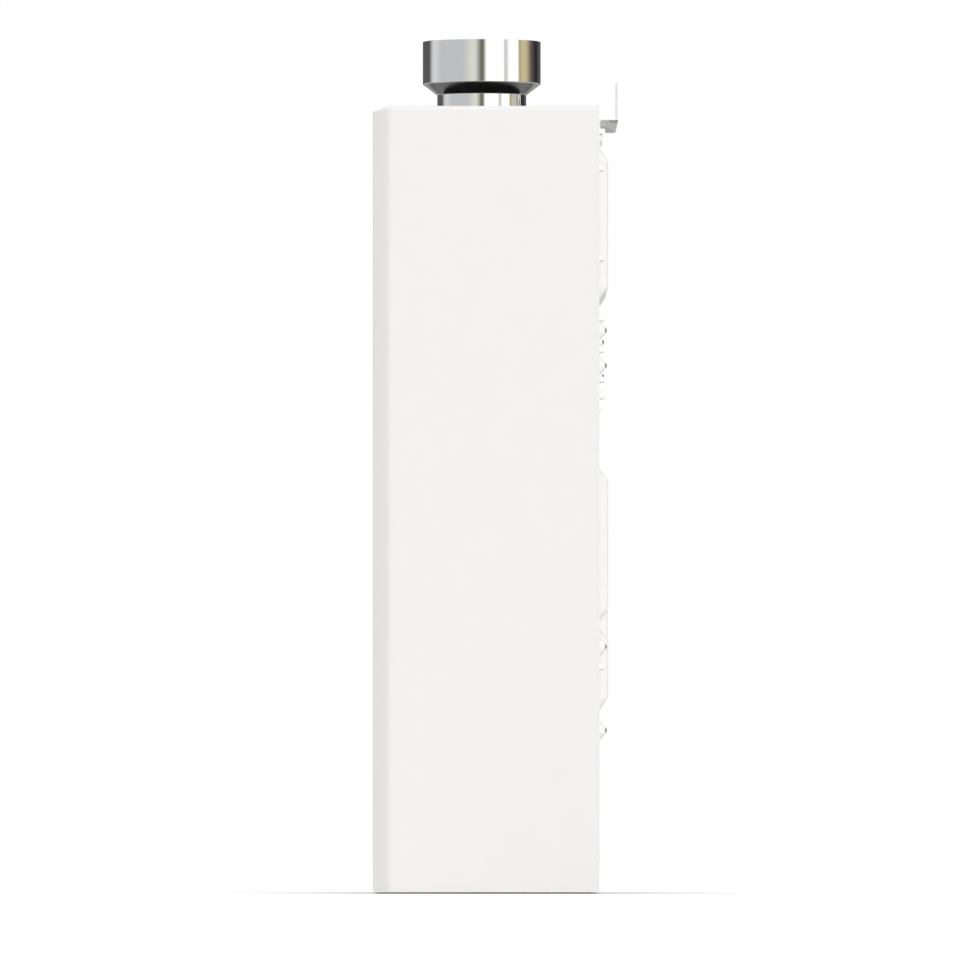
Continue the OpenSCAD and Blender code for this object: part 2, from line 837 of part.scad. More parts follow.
module wall_hanger() color("lightsteelblue") difference() {
    union() {
        box([-hang_w / 2, y_back, hang_z], [hang_w / 2, y_back + hang_t, shelf_z]);
        box([-hang_w / 2, y_back, shelf_z - hang_t], [hang_w / 2, y_ear + hang_t, shelf_z]);
        along_y(y_ear, y_ear + hang_t)
            polygon(rounded(
                rect(-ear_w / 2, shelf_z - hang_t, ear_w / 2, ear_z),
                [0, 0, ear_corner, ear_corner]
            ));
        both_sides() along_x(hang_w / 2 - hang_t, hang_w / 2) polygon([
            [y_back, shelf_z - hang_t / 2],
            [y_back, shelf_z - gusset_step],
            [y_back + gusset_foot, shelf_z - gusset_step],
            [y_back + gusset_foot, shelf_z - gusset_h],
            [y_ear + hang_t - gusset_lean, shelf_z - gusset_h],
            [y_ear + hang_t, shelf_z - hang_t / 2]
        ]);
    }
    rod_y(y_ear - cut, y_ear + hang_t + cut, 0, hang_hole_z, hang_hole_d / 2);
    both_sides() {
        rod_y(y_ear - cut, y_ear + hang_t + cut, side_hole_span / 2, hang_hole_z, side_hole_d / 2);
        rod_y(y_back - cut, y_back + hang_t + cut, hang_screw_x, hang_screw_z, screw_d / 2 + slip_gap);
    }
}

module hanger_screws() color("silver") both_sides()
    translate([hang_screw_x, y_back + hang_t, hang_screw_z]) rotate([90, 0, 0]) screw(hang_screw_len, 0);

module cover_screws() color("silver") for (y = tab_ys) both_sides()
    translate([x_inner - tab_d / 2, y, recess_h - sheet_t]) screw(tab_screw_len, tab_screw_tip);

// Places where the core's brackets are screwed to the back panel
module core_screw_places() {
    for (span = [upper_bracket, low_bracket], z = [span[0] + bracket_margin, span[1] - bracket_margin])
        both_sides() translate([core_screw_x, y_panel, z]) children();
}

module core_brackets() color("lightgray") difference() {
    for (span = [upper_bracket, low_bracket]) both_sides() along_z(span[0], span[1]) polygon([
        [bracket_x - bracket_flange, core_rear],
        [bracket_x, core_rear],
        [bracket_x, y_panel - bracket_t],
        [bracket_x + bracket_flange, y_panel - bracket_t],
        [bracket_x + bracket_flange, y_panel],
        [bracket_x - bracket_t, y_panel],
        [bracket_x - bracket_t, core_rear + bracket_t],
        [bracket_x - bracket_flange, core_rear + bracket_t]
    ]);
    core_screw_places() rod_y(-bracket_t - cut, cut, 0, 0, screw_d / 2 + slip_gap);
}

module core_screws() color("dimgray") core_screw_places()
    translate([0, -bracket_t, 0]) rotate([-90, 0, 0])
        screw(bracket_t + sheet_t + screw_tip, screw_tip - core_screw_thread);

// Flue and fan

module flue_adapter() color("silver") translate([0, flue_y, 0]) rotate_extrude() polygon([
    [neck_r, fan_top],
    [neck_r, z_cone],
    [socket_r, z_socket],
    [socket_r, z_rim],
    [socket_r - flue_t, z_rim],
    [socket_r - flue_t, z_socket],
    [neck_r - flue_t, z_cone],
    [neck_r - flue_t, fan_top]
]);

module flue_seal() color("dimgray") translate([0, flue_y, 0]) rotate_extrude() polygon([
    [neck_r + slip_gap, z_ceiling - seal_t],
    [neck_r + seal_w, z_ceiling - seal_t],
    [neck_r + seal_w, z_ceiling],
    [flue_hole_r - slip_gap, z_ceiling],
    [flue_hole_r - slip_gap, body_h - slide_gap],
    [neck_r + slip_gap, body_h - slide_gap]
]);

// Steel ring on the cover's top, round the seal
module flue_trim_ring() color("silver") translate([0, flue_y, body_h]) rotate_extrude() polygon([
    [trim_bore_r, 0],
    [trim_r, 0],
    [trim_r - trim_t / 2, trim_t],
    [trim_bore_r, trim_t]
]);

// Fan housing outline as (x, z): a round body with an upright outlet, t inside the outer faces
module volute_outline(t) {
    translate([fan_x, fan_z]) circle(volute_r - t);
    translate([-duct_w / 2 + t, fan_z]) square([duct_w - 2 * t, fan_top - fan_z - t]);
}

module fan_housing() color("lightgray") difference() {
    union() {
        along_y(fan_front, fan_rear) volute_outline(0);
        rod_z(fan_top - bond, fan_top + collar_h, 0, flue_y, collar_r);
        rod_x(fan_x, fan_x + volute_r + nipple_len, flue_y, fan_z, nipple_r);
    }
    along_y(fan_front + duct_t, fan_rear - duct_t) volute_outline(duct_t);
    rod_z(fan_top - duct_t - cut, fan_top + collar_h + cut, 0, flue_y, collar_r - duct_t);
    rod_x(fan_x, fan_x + volute_r + nipple_len + cut, flue_y, fan_z, nipple_r - nipple_t);
    rod_y(fan_rear - duct_t - cut, fan_rear + cut, fan_x, fan_z, inlet_r);
    rod_y(fan_front - cut, fan_front + duct_t + cut, fan_x, fan_z, shaft_hole_r);
}

module fan_impeller() color("gray") translate([fan_x, impeller_y, fan_z]) rotate([-90, 0, 0]) difference() {
    union() {
        cylinder(r = impeller_r, h = impeller_disc);
        cylinder(r = shaft_d / 2 + hub_wall, h = impeller_w / 2);
        translate([0, 0, impeller_w - impeller_disc]) difference() {
            cylinder(r = impeller_r, h = impeller_disc);
            translate([0, 0, -cut]) cylinder(r = impeller_r - impeller_rim, h = impeller_disc + 2 * cut);
        }
        for (i = [0:vane_n - 1]) rotate(i * 360 / vane_n) box(
            [impeller_r - impeller_rim - bond, -vane_t / 2, bond],
            [impeller_r - 2 * bond, vane_t / 2, impeller_w - bond]
        );
    }
    translate([0, 0, -cut]) cylinder(r = shaft_d / 2 + run_gap, h = impeller_w / 2 + 2 * cut);
}

module fan_shaft() color("silver")
    rod_y(motor_front + motor_cap + cut, impeller_y + impeller_w / 2 + shaft_end, fan_x, fan_z, shaft_d / 2);

// The two bearings' near ends along the motor
bearing_ys = [motor_front + motor_cap, fan_front - bearing_w];

module motor_bearings() color("silver") for (y = bearing_ys) difference() {
    rod_y(y, y + bearing_w, fan_x, fan_z, bearing_d / 2);
    rod_y(y - cut, y + bearing_w + cut, fan_x, fan_z, shaft_d / 2 + run_gap);
}

module fan_motor() color("darkgray") difference() {
    union() {
        rod_y(motor_front, fan_front, fan_x, fan_z, motor_d / 2);
        rod_y(fan_front - motor_flange_t, fan_front, fan_x, fan_z, motor_flange_d / 2);
    }
    rod_y(motor_front + motor_cap, fan_front + cut, fan_x, fan_z, shaft_d / 2 + motor_room);
    rod_y(bearing_ys[0], bearing_ys[0] + bearing_w, fan_x, fan_z, bearing_d / 2 + slip_gap);
    rod_y(bearing_ys[1], fan_front + cut, fan_x, fan_z, bearing_d / 2 + slip_gap);
}

// Hood over the exchanger and the duct that rises behind the fan, t inside the outer faces
module hood_solid(t) {
    along_y(core_front + t, core_rear - t) polygon([
        [-core_x + t, hood_z - (t > 0 ? cut : 0)],
        [core_x - t, hood_z - (t > 0 ? cut : 0)],
        [core_x - t - hood_lean, hood_top - t],
        [-core_x + t + hood_lean, hood_top - t]
    ]);
    box(
        [fan_x - hood_box_w / 2 + t, fan_rear + t, hood_z + hood_h / 2],
        [fan_x + hood_box_w / 2 - t, core_rear - t, fan_z + hood_box_w / 2 - t]
    );
}

module exhaust_hood() color("lightgray") difference() {
    hood_solid(0);
    hood_solid(duct_t);
    rod_y(fan_rear - cut, fan_rear + duct_t + cut, fan_x, fan_z, inlet_r);
}

module pressure_switch() color("ivory") {
    rod_y(y_panel - switch_len, y_panel, switch_x, fan_z, switch_d / 2);
    rod_y(y_panel - switch_len - nipple_len, y_panel - switch_len, switch_x, fan_z, nipple_r);
}

module pressure_tube() color("white") pipe(
    [
        [switch_x, y_panel - switch_len - nipple_len, fan_z],
        [switch_x, flue_y, fan_z],
        [fan_x + volute_r + nipple_len, flue_y, fan_z]
    ],
    nipple_r, nipple_r - nipple_t, pipe_bend
);

// Heat exchanger

// Open sheet box of the core between z0 and z1
module core_walls(z0, z1) difference() {
    box([-core_x, core_front, z0], [core_x, core_rear, z1]);
    box(
        [-core_x + core_t, core_front + core_t, z0 - cut],
        [core_x - core_t, core_rear - core_t, z1 + cut]
    );
}

// Joint flange round the core, one sheet thick from z up
module core_rim(z) difference() {
    box(
        [-core_x - core_flange, core_front - core_flange, z],
        [core_x + core_flange, core_rear + core_flange, z + core_t]
    );
    box([-core_x + bond, core_front + bond, z - cut], [core_x - bond, core_rear - bond, z + core_t + cut]);
}

// The coil's passes across the core
pass_ys = [for (i = [0:pass_n - 1]) cold_y + i * pass_pitch];

// Clearance hole for the electrode on the right
module electrode_hole(y0, y1) rod_y(y0, y1, electrode_x, electrode_z, electrode_r + slip_gap);

module exchanger_shell() color("peru") difference() {
    union() {
        core_walls(chamber_z, hood_z);
        core_rim(chamber_z);
    }
    for (y = pass_ys) rod_x(-core_x - cut, core_x + cut, y, coil_z, tube_r + slip_gap);
    both_sides() electrode_hole(core_front - cut, core_front + core_t + cut);
}

fin_n = floor((core_x - core_t - fin_pitch / 2) / fin_pitch);

module exchanger_fins() color("peru") difference() {
    for (i = [-fin_n:fin_n]) box(
        [i * fin_pitch - fin_t / 2, core_front + core_t + fin_gap, coil_z - fin_h / 2],
        [i * fin_pitch + fin_t / 2, core_rear - core_t - fin_gap, coil_z + fin_h / 2]
    );
    for (y = pass_ys) rod_x(-core_x, core_x, y, coil_z, tube_r + slip_gap);
}

// Serpentine from the cold stub at +X to the hot stub at -X
coil_points = [
    [stub_x, pass_ys[0], coil_z],
    for (i = [0:pass_n - 2]) each [
        [(i % 2 == 0 ? -1 : 1) * coil_end, pass_ys[i], coil_z],
        [(i % 2 == 0 ? -1 : 1) * coil_end, pass_ys[i + 1], coil_z]
    ],
    [-stub_x, pass_ys[pass_n - 1], coil_z]
];

module exchanger_coil() color("peru") pipe(coil_points, tube_r, tube_hole, pass_bend);

module pipe_unions() color("goldenrod") for (end = [[stub_x, cold_y], [-stub_x, hot_y]]) difference() {
    translate([end.x - union_len / 2, end.y, coil_z]) rotate([0, 90, 0])
        cylinder(d = union_d, h = union_len, $fn = 6);
    rod_x(end.x - union_len / 2 - cut, end.x + union_len / 2 + cut, end.y, coil_z, tube_r + slip_gap);
}

module overheat_switch() color("ivory") {
    rod_y(core_front - overheat_h, core_front, 0, overheat_z, overheat_d / 2);
    both_sides() box(
        [tag_x, core_front - overheat_h - tag_w, overheat_z - tag_w / 2],
        [tag_x + tag_t, core_front - overheat_h + bond, overheat_z + tag_w / 2]
    );
}

module outlet_thermistor() color("dimgray") difference() {
    union() {
        rod_z(thermistor_z, thermistor_z + thermistor_h, -riser_x, hot_y, tube_r + thermistor_wall);
        rod_y(hot_y - tube_r - thermistor_plug, hot_y, -riser_x, thermistor_z + thermistor_h / 2, nipple_r);
    }
    rod_z(thermistor_z - cut, thermistor_z + thermistor_h + cut, -riser_x, hot_y, tube_r + slip_gap);
}

// Burner

module burner_box() color("lightgray") difference() {
    union() {
        core_walls(burner_z, chamber_z);
        core_rim(chamber_z - core_t);
    }
    for (x = blade_xs)
        rod_y(core_front - cut, core_front + core_t + cut, x, venturi_z, venturi_r + slip_gap);
}

module burner_blade() difference() {
    union() {
        box(
            [-blade_t / 2, core_front + core_t + fin_gap, venturi_z],
            [blade_t / 2, core_rear - core_t - fin_gap, blade_top]
        );
        rod_y(venturi_front, venturi_front + venturi_len, 0, venturi_z, venturi_r);
    }
    box(
        [-blade_t / 2 + blade_wall, core_front + core_t + fin_gap + blade_wall, venturi_z + blade_wall],
        [blade_t / 2 - blade_wall, core_rear - core_t - fin_gap - blade_wall, blade_top - blade_wall]
    );
    rod_y(venturi_front - cut, venturi_front + venturi_len - venturi_end, 0, venturi_z, venturi_hole);
    for (i = [0:port_n - 1]) {
        y = core_y + (i - (port_n - 1) / 2) * port_pitch;
        box(
            [-blade_t / 2 + port_rim, y - port_w / 2, blade_top - port_deep],
            [blade_t / 2 - port_rim, y + port_w / 2, blade_top + cut]
        );
    }
}

module burner_blades() color("slategray") for (x = blade_xs) translate([x, 0, 0]) burner_blade();

module gas_manifold() color("silver") difference() {
    union() {
        box(
            [-manifold_x, manifold_y - manifold_s / 2, venturi_z - manifold_s / 2],
            [manifold_x, manifold_rear, venturi_z + manifold_s / 2]
        );
        both_sides() box(
            [manifold_x - manifold_tab, manifold_rear - bond, venturi_z - manifold_s / 2],
            [manifold_x, core_front, venturi_z + manifold_s / 2]
        );
    }
    hollow = manifold_s / 2 - manifold_wall;
    box(
        [-manifold_x + manifold_wall, manifold_y - hollow, venturi_z - hollow],
        [manifold_x - manifold_wall, manifold_y + hollow, venturi_z + hollow]
    );
    for (x = blade_xs)
        rod_y(manifold_rear - manifold_wall - cut, manifold_rear + cut, x, venturi_z, injector_hole);
    rod_z(venturi_z - manifold_s / 2 - cut, venturi_z, 0, manifold_y, tube_hole);
}

module gas_injectors() color("goldenrod") for (x = blade_xs) difference() {
    rod_y(manifold_rear, manifold_rear + injector_len, x, venturi_z, injector_r);
    rod_y(manifold_rear - cut, manifold_rear + injector_len + cut, x, venturi_z, injector_hole);
}

module electrode_brackets() color("silver") both_sides() difference() {
    x = electrode_plate_w / 2;
    z = electrode_plate_h / 2;
    box(
        [electrode_x - x, core_front - electrode_plate_t, electrode_z - z],
        [electrode_x + x, core_front, electrode_z + z]
    );
    electrode_hole(core_front - electrode_plate_t - cut, core_front + cut);
}

module electrode() {
    half = electrode_cap_w / 2;
    nose = core_front + electrode_nose;
    rod_y(core_front - electrode_len, nose, electrode_x, electrode_z, electrode_r);
    rod_y(nose - bond, core_front + electrode_reach, electrode_x, electrode_z, electrode_pin_r);
    box(
        [electrode_x - half, core_front - electrode_len - electrode_cap, electrode_z - half],
        [electrode_x + half, core_front - electrode_len, electrode_z + half]
    );
}

module ignition_electrode() color("white") electrode();

module flame_sensor() color("white") mirror([1, 0, 0]) electrode();

// Gas and water connections

// Threaded fitting through the bottom plate at x
module fitting(x) difference() {
    union() {
        rod_z(fit_drop, recess_h - hex_h, x, fit_y, thread_d / 2);
        hex_z(recess_h - hex_h, recess_h, x, fit_y);
        rod_z(recess_h, z_deck + stem_h, x, fit_y, stem_d / 2);
    }
    rod_z(fit_drop - cut, z_deck + stem_h + cut, x, fit_y, fitting_bore / 2);
    rod_z(z_deck + stem_h - socket_depth, z_deck + stem_h + cut, x, fit_y, tube_r + slip_gap);
}

module gas_inlet_fitting() color("goldenrod") fitting(0);

module cold_inlet_fitting() color("goldenrod") fitting(fit_span);

module hot_outlet_fitting() color("goldenrod") fitting(-fit_span);

module fitting_locknuts() color("goldenrod") for (x = [-fit_span, 0, fit_span]) difference() {
    hex_z(z_deck, z_deck + locknut_h, x, fit_y);
    rod_z(z_deck - cut, z_deck + locknut_h + cut, x, fit_y, stem_d / 2 + slip_gap);
}

module inlet_filter() color("white") difference() {
    rod_z(fit_drop, fit_drop + filter_h, fit_span, fit_y, fitting_bore / 2 - filter_gap);
    rod_z(
        fit_drop - cut, fit_drop + filter_h - filter_end,
        fit_span, fit_y, fitting_bore / 2 - filter_gap - filter_t
    );
}

module flow_sensor_body() color("goldenrod") difference() {
    union() {
        difference() {
            union() {
                rod_z(socket_z, sensor_top, fit_span, fit_y, sensor_d / 2);
                rod_x(fit_span - sensor_d / 2 - drain_boss, fit_span, fit_y, drain_branch_z, drain_boss_r);
            }
            rod_z(socket_z - cut, socket_z + socket_depth, fit_span, fit_y, stem_d / 2 + slip_gap);
            rod_z(socket_z, sensor_top + cut, fit_span, fit_y, tube_hole);
            rod_z(rotor_low, rotor_high, fit_span, fit_y, rotor_r + rotor_room);
            rod_z(sensor_top - socket_depth, sensor_top + cut, fit_span, fit_y, tube_r + slip_gap);
        }
        for (z = [rotor_low, rotor_high - spider_t]) box(
            [fit_span - rotor_r - rotor_room - bond, fit_y - spider_w / 2, z],
            [fit_span + rotor_r + rotor_room + bond, fit_y + spider_w / 2, z + spider_t]
        );
    }
    rod_z(rotor_low - cut, rotor_high + cut, fit_span, fit_y, rotor_pin_d / 2 + run_gap);
}

module flow_rotor() color("royalblue") translate([fit_span, fit_y, 0]) {
    rod_z(rotor_low + bond, rotor_high - bond, 0, 0, rotor_pin_d / 2);
    rod_z(rotor_low + spider_t + bond, rotor_high - spider_t - bond, 0, 0, rotor_pin_d / 2 + rotor_hub);
    for (i = [0:rotor_vanes - 1]) rotate(360 / rotor_vanes * i) box(
        [rotor_pin_d / 2, -rotor_vane_t / 2, rotor_low + spider_t + bond],
        [rotor_r, rotor_vane_t / 2, rotor_high - spider_t - bond]
    );
}

module cold_pipe() color("peru") pipe(
    [
        [fit_span, fit_y, sensor_top - socket_depth],
        [fit_span, fit_y, cold_jog_z],
        [riser_x, fit_y, cold_jog_z],
        [riser_x, cold_y, cold_jog_z],
        [riser_x, cold_y, coil_z],
        [stub_x, cold_y, coil_z]
    ],
    tube_r, tube_hole, pipe_bend
);

module hot_pipe() color("peru") pipe(
    [
        [-stub_x, hot_y, coil_z],
        [-riser_x, hot_y, coil_z],
        [-riser_x, hot_y, hot_jog_z],
        [-riser_x, fit_y, hot_jog_z],
        [-fit_span, fit_y, hot_jog_z],
        [-fit_span, fit_y, z_deck + stem_h - socket_depth]
    ],
    tube_r, tube_hole, pipe_bend
);

module drain_valve_body() color("goldenrod") {
    rod_z(z_deck, drain_top, drain_x, fit_y, drain_d / 2);
    rod_z(drain_neck_z, z_deck, drain_x, fit_y, drain_neck_r);
    rod_z(drain_neck_z - spindle_len, drain_neck_z, drain_x, fit_y, spindle_d / 2);
    rod_x(drain_x, fit_span - sensor_d / 2 - drain_boss, fit_y, drain_branch_z, drain_branch_r);
}

module drain_handle() color("firebrick") difference() {
    union() {
        rod_z(handle_top - handle_h, handle_top, drain_x, fit_y, spindle_d / 2 + handle_wall);
        box(
            [drain_x - wing_w / 2, fit_y - wing_t / 2, handle_top - handle_h],
            [drain_x + wing_w / 2, fit_y + wing_t / 2, handle_top - handle_shoulder]
        );
    }
    rod_z(handle_top - handle_h + handle_floor, handle_top + cut, drain_x, fit_y, spindle_d / 2 + run_gap);
}

module gas_valve_body() color("silver") difference() {
    box([-valve_w / 2, valve_front, socket_z], [valve_w / 2, valve_front + valve_d, valve_top]);
    rod_z(socket_z - cut, socket_z + socket_depth, 0, fit_y, stem_d / 2 + slip_gap);
    rod_z(socket_z, gas_z + fitting_bore / 2, 0, fit_y, fitting_bore / 2);
    rod_y(valve_front, fit_y, 0, gas_z, fitting_bore / 2 - outlet_step);
    rod_y(valve_front - cut, valve_front + socket_depth, 0, gas_z, tube_r + slip_gap);
    for (x = [-coil_x, coil_x])
        rod_z(valve_top - well_deep, valve_top + cut, x, fit_y, plunger_d / 2 + slide_gap);
}

module solenoid_coils() color("darkslategray") for (x = [-coil_x, coil_x]) difference() {
    rod_z(valve_top, valve_top + coil_h, x, fit_y, coil_d / 2);
    rod_z(valve_top - cut, valve_top + coil_h - coil_cap, x, fit_y, plunger_d / 2 + slide_gap);
}

module plunger(x) rod_z(valve_top - well_deep + slide_gap, plunger_top, x, fit_y, plunger_d / 2);

module inlet_plunger() color("silver") plunger(-coil_x);

module main_plunger() color("silver") plunger(coil_x);

// Return spring: one wire of six sides wound between the plunger and the coil's cap
module return_spring(x) {
    sides = 6;
    rings = spring_turns * 8;
    wire_r = spring_wire / 2;
    mean_r = plunger_d / 2 - spring_wire - slide_gap;
    low = plunger_top + wire_r + spring_gap;
    rise = spring_top - wire_r - spring_gap - low;
    points = [
        for (i = [0:rings], k = [0:sides - 1])
            let (a = 360 * spring_turns * i / rings, b = 360 * k / sides, r = mean_r + wire_r * cos(b))
            [r * cos(a), r * sin(a), low + rise * i / rings + wire_r * sin(b)]
    ];
    faces = [
        for (i = [0:rings - 1], k = [0:sides - 1])
            let (p = i * sides + k, q = i * sides + (k + 1) % sides)
            each [[p, q, q + sides], [p, q + sides, p + sides]],
        for (k = [1:sides - 2]) [0, k + 1, k],
        for (k = [1:sides - 2]) [rings * sides, rings * sides + k, rings * sides + k + 1]
    ];
    translate([x, fit_y, 0]) polyhedron(points, faces);
}

module inlet_spring() color("silver") return_spring(-coil_x);

module main_spring() color("silver") return_spring(coil_x);

module modulator_coil() color("darkslategray") {
    rod_x(-valve_w / 2 - modulator_len, -valve_w / 2, fit_y, gas_z, modulator_d / 2);
    rod_x(
        -valve_w / 2 - modulator_len - modulator_cap, -valve_w / 2 - modulator_len,
        fit_y, gas_z, modulator_d / 4
    );
}

module gas_pipe() color("peru") pipe(
    [
        [0, valve_front + socket_depth, gas_z],
        [0, manifold_y, gas_z],
        [0, manifold_y, venturi_z - manifold_s / 2]
    ],
    tube_r, tube_hole, pipe_bend
);

// Display and electrics

// Front outline of the display panel as (x, z), grown by g
module display_outline(g) {
    x = display_w / 2 + g;
    z = display_h / 2 + g;
    r = display_corner + g;
    polygon(rounded(rect(-x, display_z - z, x, display_z + z), [r, r, r, r]));
}

// Places of the four posts that hold the display board
module board_places() both_sides() for (s = [-1, 1])
    translate([display_w / 2 - post_inset, 0, display_z + s * (display_h / 2 - post_inset)]) children();

module display_panel() color("black") difference() {
    union() {
        along_y(y_front, y_inner + bond) display_outline(-display_gap);
        along_y(y_inner, y_front + display_t) display_outline(display_rim);
        board_places() rod_y(y_front + display_t - bond, board_y, 0, 0, post_r);
    }
    for (x = button_xs)
        rod_y(y_front - cut, y_front + display_t + cut, x, display_z, button_d / 2 + slide_gap);
}

// Push button with the flange that keeps it behind the panel
module button(i) {
    rod_y(y_front, y_front + button_back + bond, button_xs[i], display_z, button_d / 2);
    rod_y(
        y_front + button_back, y_front + button_back + button_flange_t,
        button_xs[i], display_z, button_d / 2 + button_flange
    );
}

module minus_button() color("white") button(0);

module plus_button() color("white") button(1);

module power_button() color("white") button(2);

module display_board() color("darkgreen") {
    box(
        [-display_w / 2, board_y, display_z - display_h / 2],
        [display_w / 2, board_y + board_t, display_z + display_h / 2]
    );
    // Digit module behind the panel's left half
    box(
        [-display_w / 2 + digits_inset, y_front + display_t + slide_gap, display_z - digits_h / 2],
        [-digits_end, board_y + bond, display_z + digits_h / 2]
    );
    // Switch under each button
    for (x = button_xs)
        box(
            [x - tact_w / 2, tact_y, display_z - tact_w / 2],
            [x + tact_w / 2, board_y + bond, display_z + tact_w / 2]
        );
}

module controller_box() color("dimgray") difference() {
    rear = controller_y + controller_d;
    right = controller_x + controller_w;
    top = z_deck + controller_h;
    union() {
        box([controller_x, controller_y, z_deck], [right, rear, top]);
        // Cooling ribs on the lid
        for (i = [0:rib_n - 1]) box(
            [rib_x + i * rib_pitch, rear - bond, z_deck + rib_margin],
            [rib_x + i * rib_pitch + rib_t, rear + rib_deep, top - rib_margin]
        );
    }
    box(
        [controller_x + box_t, controller_y + box_t, z_deck - cut],
        [right - box_t, rear - box_t, top - box_t]
    );
}

module igniter_module() color("dimgray") {
    top = z_deck + igniter_h;
    box([igniter_x, controller_y, z_deck], [igniter_x + igniter_w, controller_y + controller_d, top]);
    rod_z(top - bond, top + igniter_post_h, igniter_x + igniter_w / 2, lead_y, igniter_post_r);
}

module cord_gland() color("black") difference() {
    union() {
        rod_z(recess_h - gland_drop, recess_h, gland_x, gland_y, gland_d / 2);
        rod_z(recess_h - bond, z_deck + bond, gland_x, gland_y, gland_neck_r);
        rod_z(z_deck, z_deck + gland_nut_h, gland_x, gland_y, gland_d / 2);
    }
    rod_z(recess_h - gland_drop - cut, z_deck + gland_nut_h + cut, gland_x, gland_y, gland_bore / 2);
}

// Leads: gland to controller, controller to fan, controller to display, igniter to electrode
wiring_routes = [
    [
        [gland_x, gland_y, z_deck + gland_nut_h],
        [gland_x, gland_y, supply_z],
        [supply_x, gland_y, supply_z],
        [supply_x, controller_y + controller_d, supply_z]
    ],
    [
        [controller_x, lead_y, lead_low_z],
        [fan_lead_x, lead_y, lead_low_z],
        [fan_lead_x, lead_y, fan_z],
        [fan_x - motor_d / 2, lead_y, fan_z]
    ],
    [
        [controller_x, ribbon_y, lead_low_z + lead_step],
        [lead_left, ribbon_y, lead_low_z + lead_step],
        [lead_left, ribbon_y, display_z],
        [-display_w / 2, ribbon_y, display_z]
    ],
    [
        [igniter_x + igniter_w, lead_y, z_deck + igniter_h / 2],
        [-lead_left, lead_y, z_deck + igniter_h / 2],
        [-lead_left, lead_y, electrode_z],
        [electrode_x + electrode_cap_w / 2, lead_y, electrode_z]
    ]
];

module wiring() color("black") for (route = wiring_routes) pipe(route, lead_r, 0, lead_bend);

front_cover();
back_panel();
bottom_plate();
wall_hanger();
hanger_screws();
cover_screws();
core_screws();
core_brackets();
flue_adapter();
flue_seal();
flue_trim_ring();
fan_housing();
fan_impeller();
fan_shaft();
motor_bearings();
fan_motor();
exhaust_hood();
pressure_switch();
pressure_tube();
exchanger_shell();
exchanger_fins();
exchanger_coil();
pipe_unions();
overheat_switch();
outlet_thermistor();
burner_box();
burner_blades();
gas_manifold();
gas_injectors();
electrode_brackets();
ignition_electrode();
flame_sensor();
gas_inlet_fitting();
gas_valve_body();
solenoid_coils();
inlet_plunger();
main_plunger();
inlet_spring();
main_spring();
modulator_coil();
gas_pipe();
cold_inlet_fitting();
inlet_filter();
flow_sensor_body();
flow_rotor();
cold_pipe();
hot_pipe();
hot_outlet_fitting();
fitting_locknuts();
drain_valve_body();
drain_handle();
display_panel();
power_button();
plus_button();
minus_button();
display_board();
controller_box();
igniter_module();
cord_gland();
wiring();
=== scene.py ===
"""Looks of a wall-hung gas water heater: painted casing, polished flue socket, pressed back panel, wall
hanger, display and pipe ends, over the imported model. Shapes are worked out in millimetres and stored in
metres."""

import json
import math

import bmesh
import bpy
import numpy as np
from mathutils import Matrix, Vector


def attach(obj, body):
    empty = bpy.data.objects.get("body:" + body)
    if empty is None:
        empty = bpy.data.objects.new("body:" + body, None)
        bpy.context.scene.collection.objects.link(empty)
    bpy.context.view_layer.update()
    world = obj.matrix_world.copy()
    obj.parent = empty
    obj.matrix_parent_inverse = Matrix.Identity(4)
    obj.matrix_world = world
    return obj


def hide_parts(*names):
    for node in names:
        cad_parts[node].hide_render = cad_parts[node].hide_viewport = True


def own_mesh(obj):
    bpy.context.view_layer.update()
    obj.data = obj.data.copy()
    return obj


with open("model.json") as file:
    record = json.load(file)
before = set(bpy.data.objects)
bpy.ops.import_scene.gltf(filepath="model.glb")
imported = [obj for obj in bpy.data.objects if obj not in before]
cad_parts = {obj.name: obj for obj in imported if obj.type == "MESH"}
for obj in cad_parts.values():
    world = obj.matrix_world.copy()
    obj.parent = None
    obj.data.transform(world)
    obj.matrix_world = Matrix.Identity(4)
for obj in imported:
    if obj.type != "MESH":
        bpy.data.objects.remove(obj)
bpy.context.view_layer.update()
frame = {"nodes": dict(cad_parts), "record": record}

MM = 0.001
TURN, QUARTER = 2 * math.pi, math.pi / 2

# Casing, in millimetres as the solids have it
HALF_W, BODY_H, SHEET = 165.0, 534.0, 1.0
Y_FRONT, Y_BACK, Y_SEAM = -84.0, 70.0, 68.98
TAPER_D, TAPER_IN, TAPER_R, TAPER_EDGE_R = 10.8, 4.0, 12.0, 0.9
CORNER_R, FACE_INSET, RIM_R = 3.0, 14.0, 0.12
RECESS_H, LIP_H = 34.0, 1.4
TAB_X, TAB_YS = 155.7, (-43.0, 35.0)
FLANGE_X, FLANGE_FOOT, FLANGE_TOP, FLANGE_FRONT = 163.5, 56.0, 532.5, 57.0

# Back panel: pressed areas as (low, high, half width), screw bosses, small bridges and wall fixings
EMBOSS_RISE, EMBOSS_SLOPE, EMBOSS_R = 6.5, 9.5, 10.0
EMBOSSES = ((404.0, 510.0, 100.0), (184.0, 290.0, 100.0), (123.0, 181.0, 100.0), (162.0, 203.0, 55.0))
SCREW_X, SCREW_ZS = 112.0, (359.0, 383.0, 110.0, 167.0)
BOSS_RISE, BOSS_R, BOSS_SLOPE = 4.4, 7.0, 4.5
BRIDGE_X, BRIDGE_ZS = 135.0, (492.7, 431.3, 390.3, 369.0, 348.6, 337.3, 152.8)
FIXING_X, FIXING_Z, FIXING_R = 120.0, 17.0, 3.0

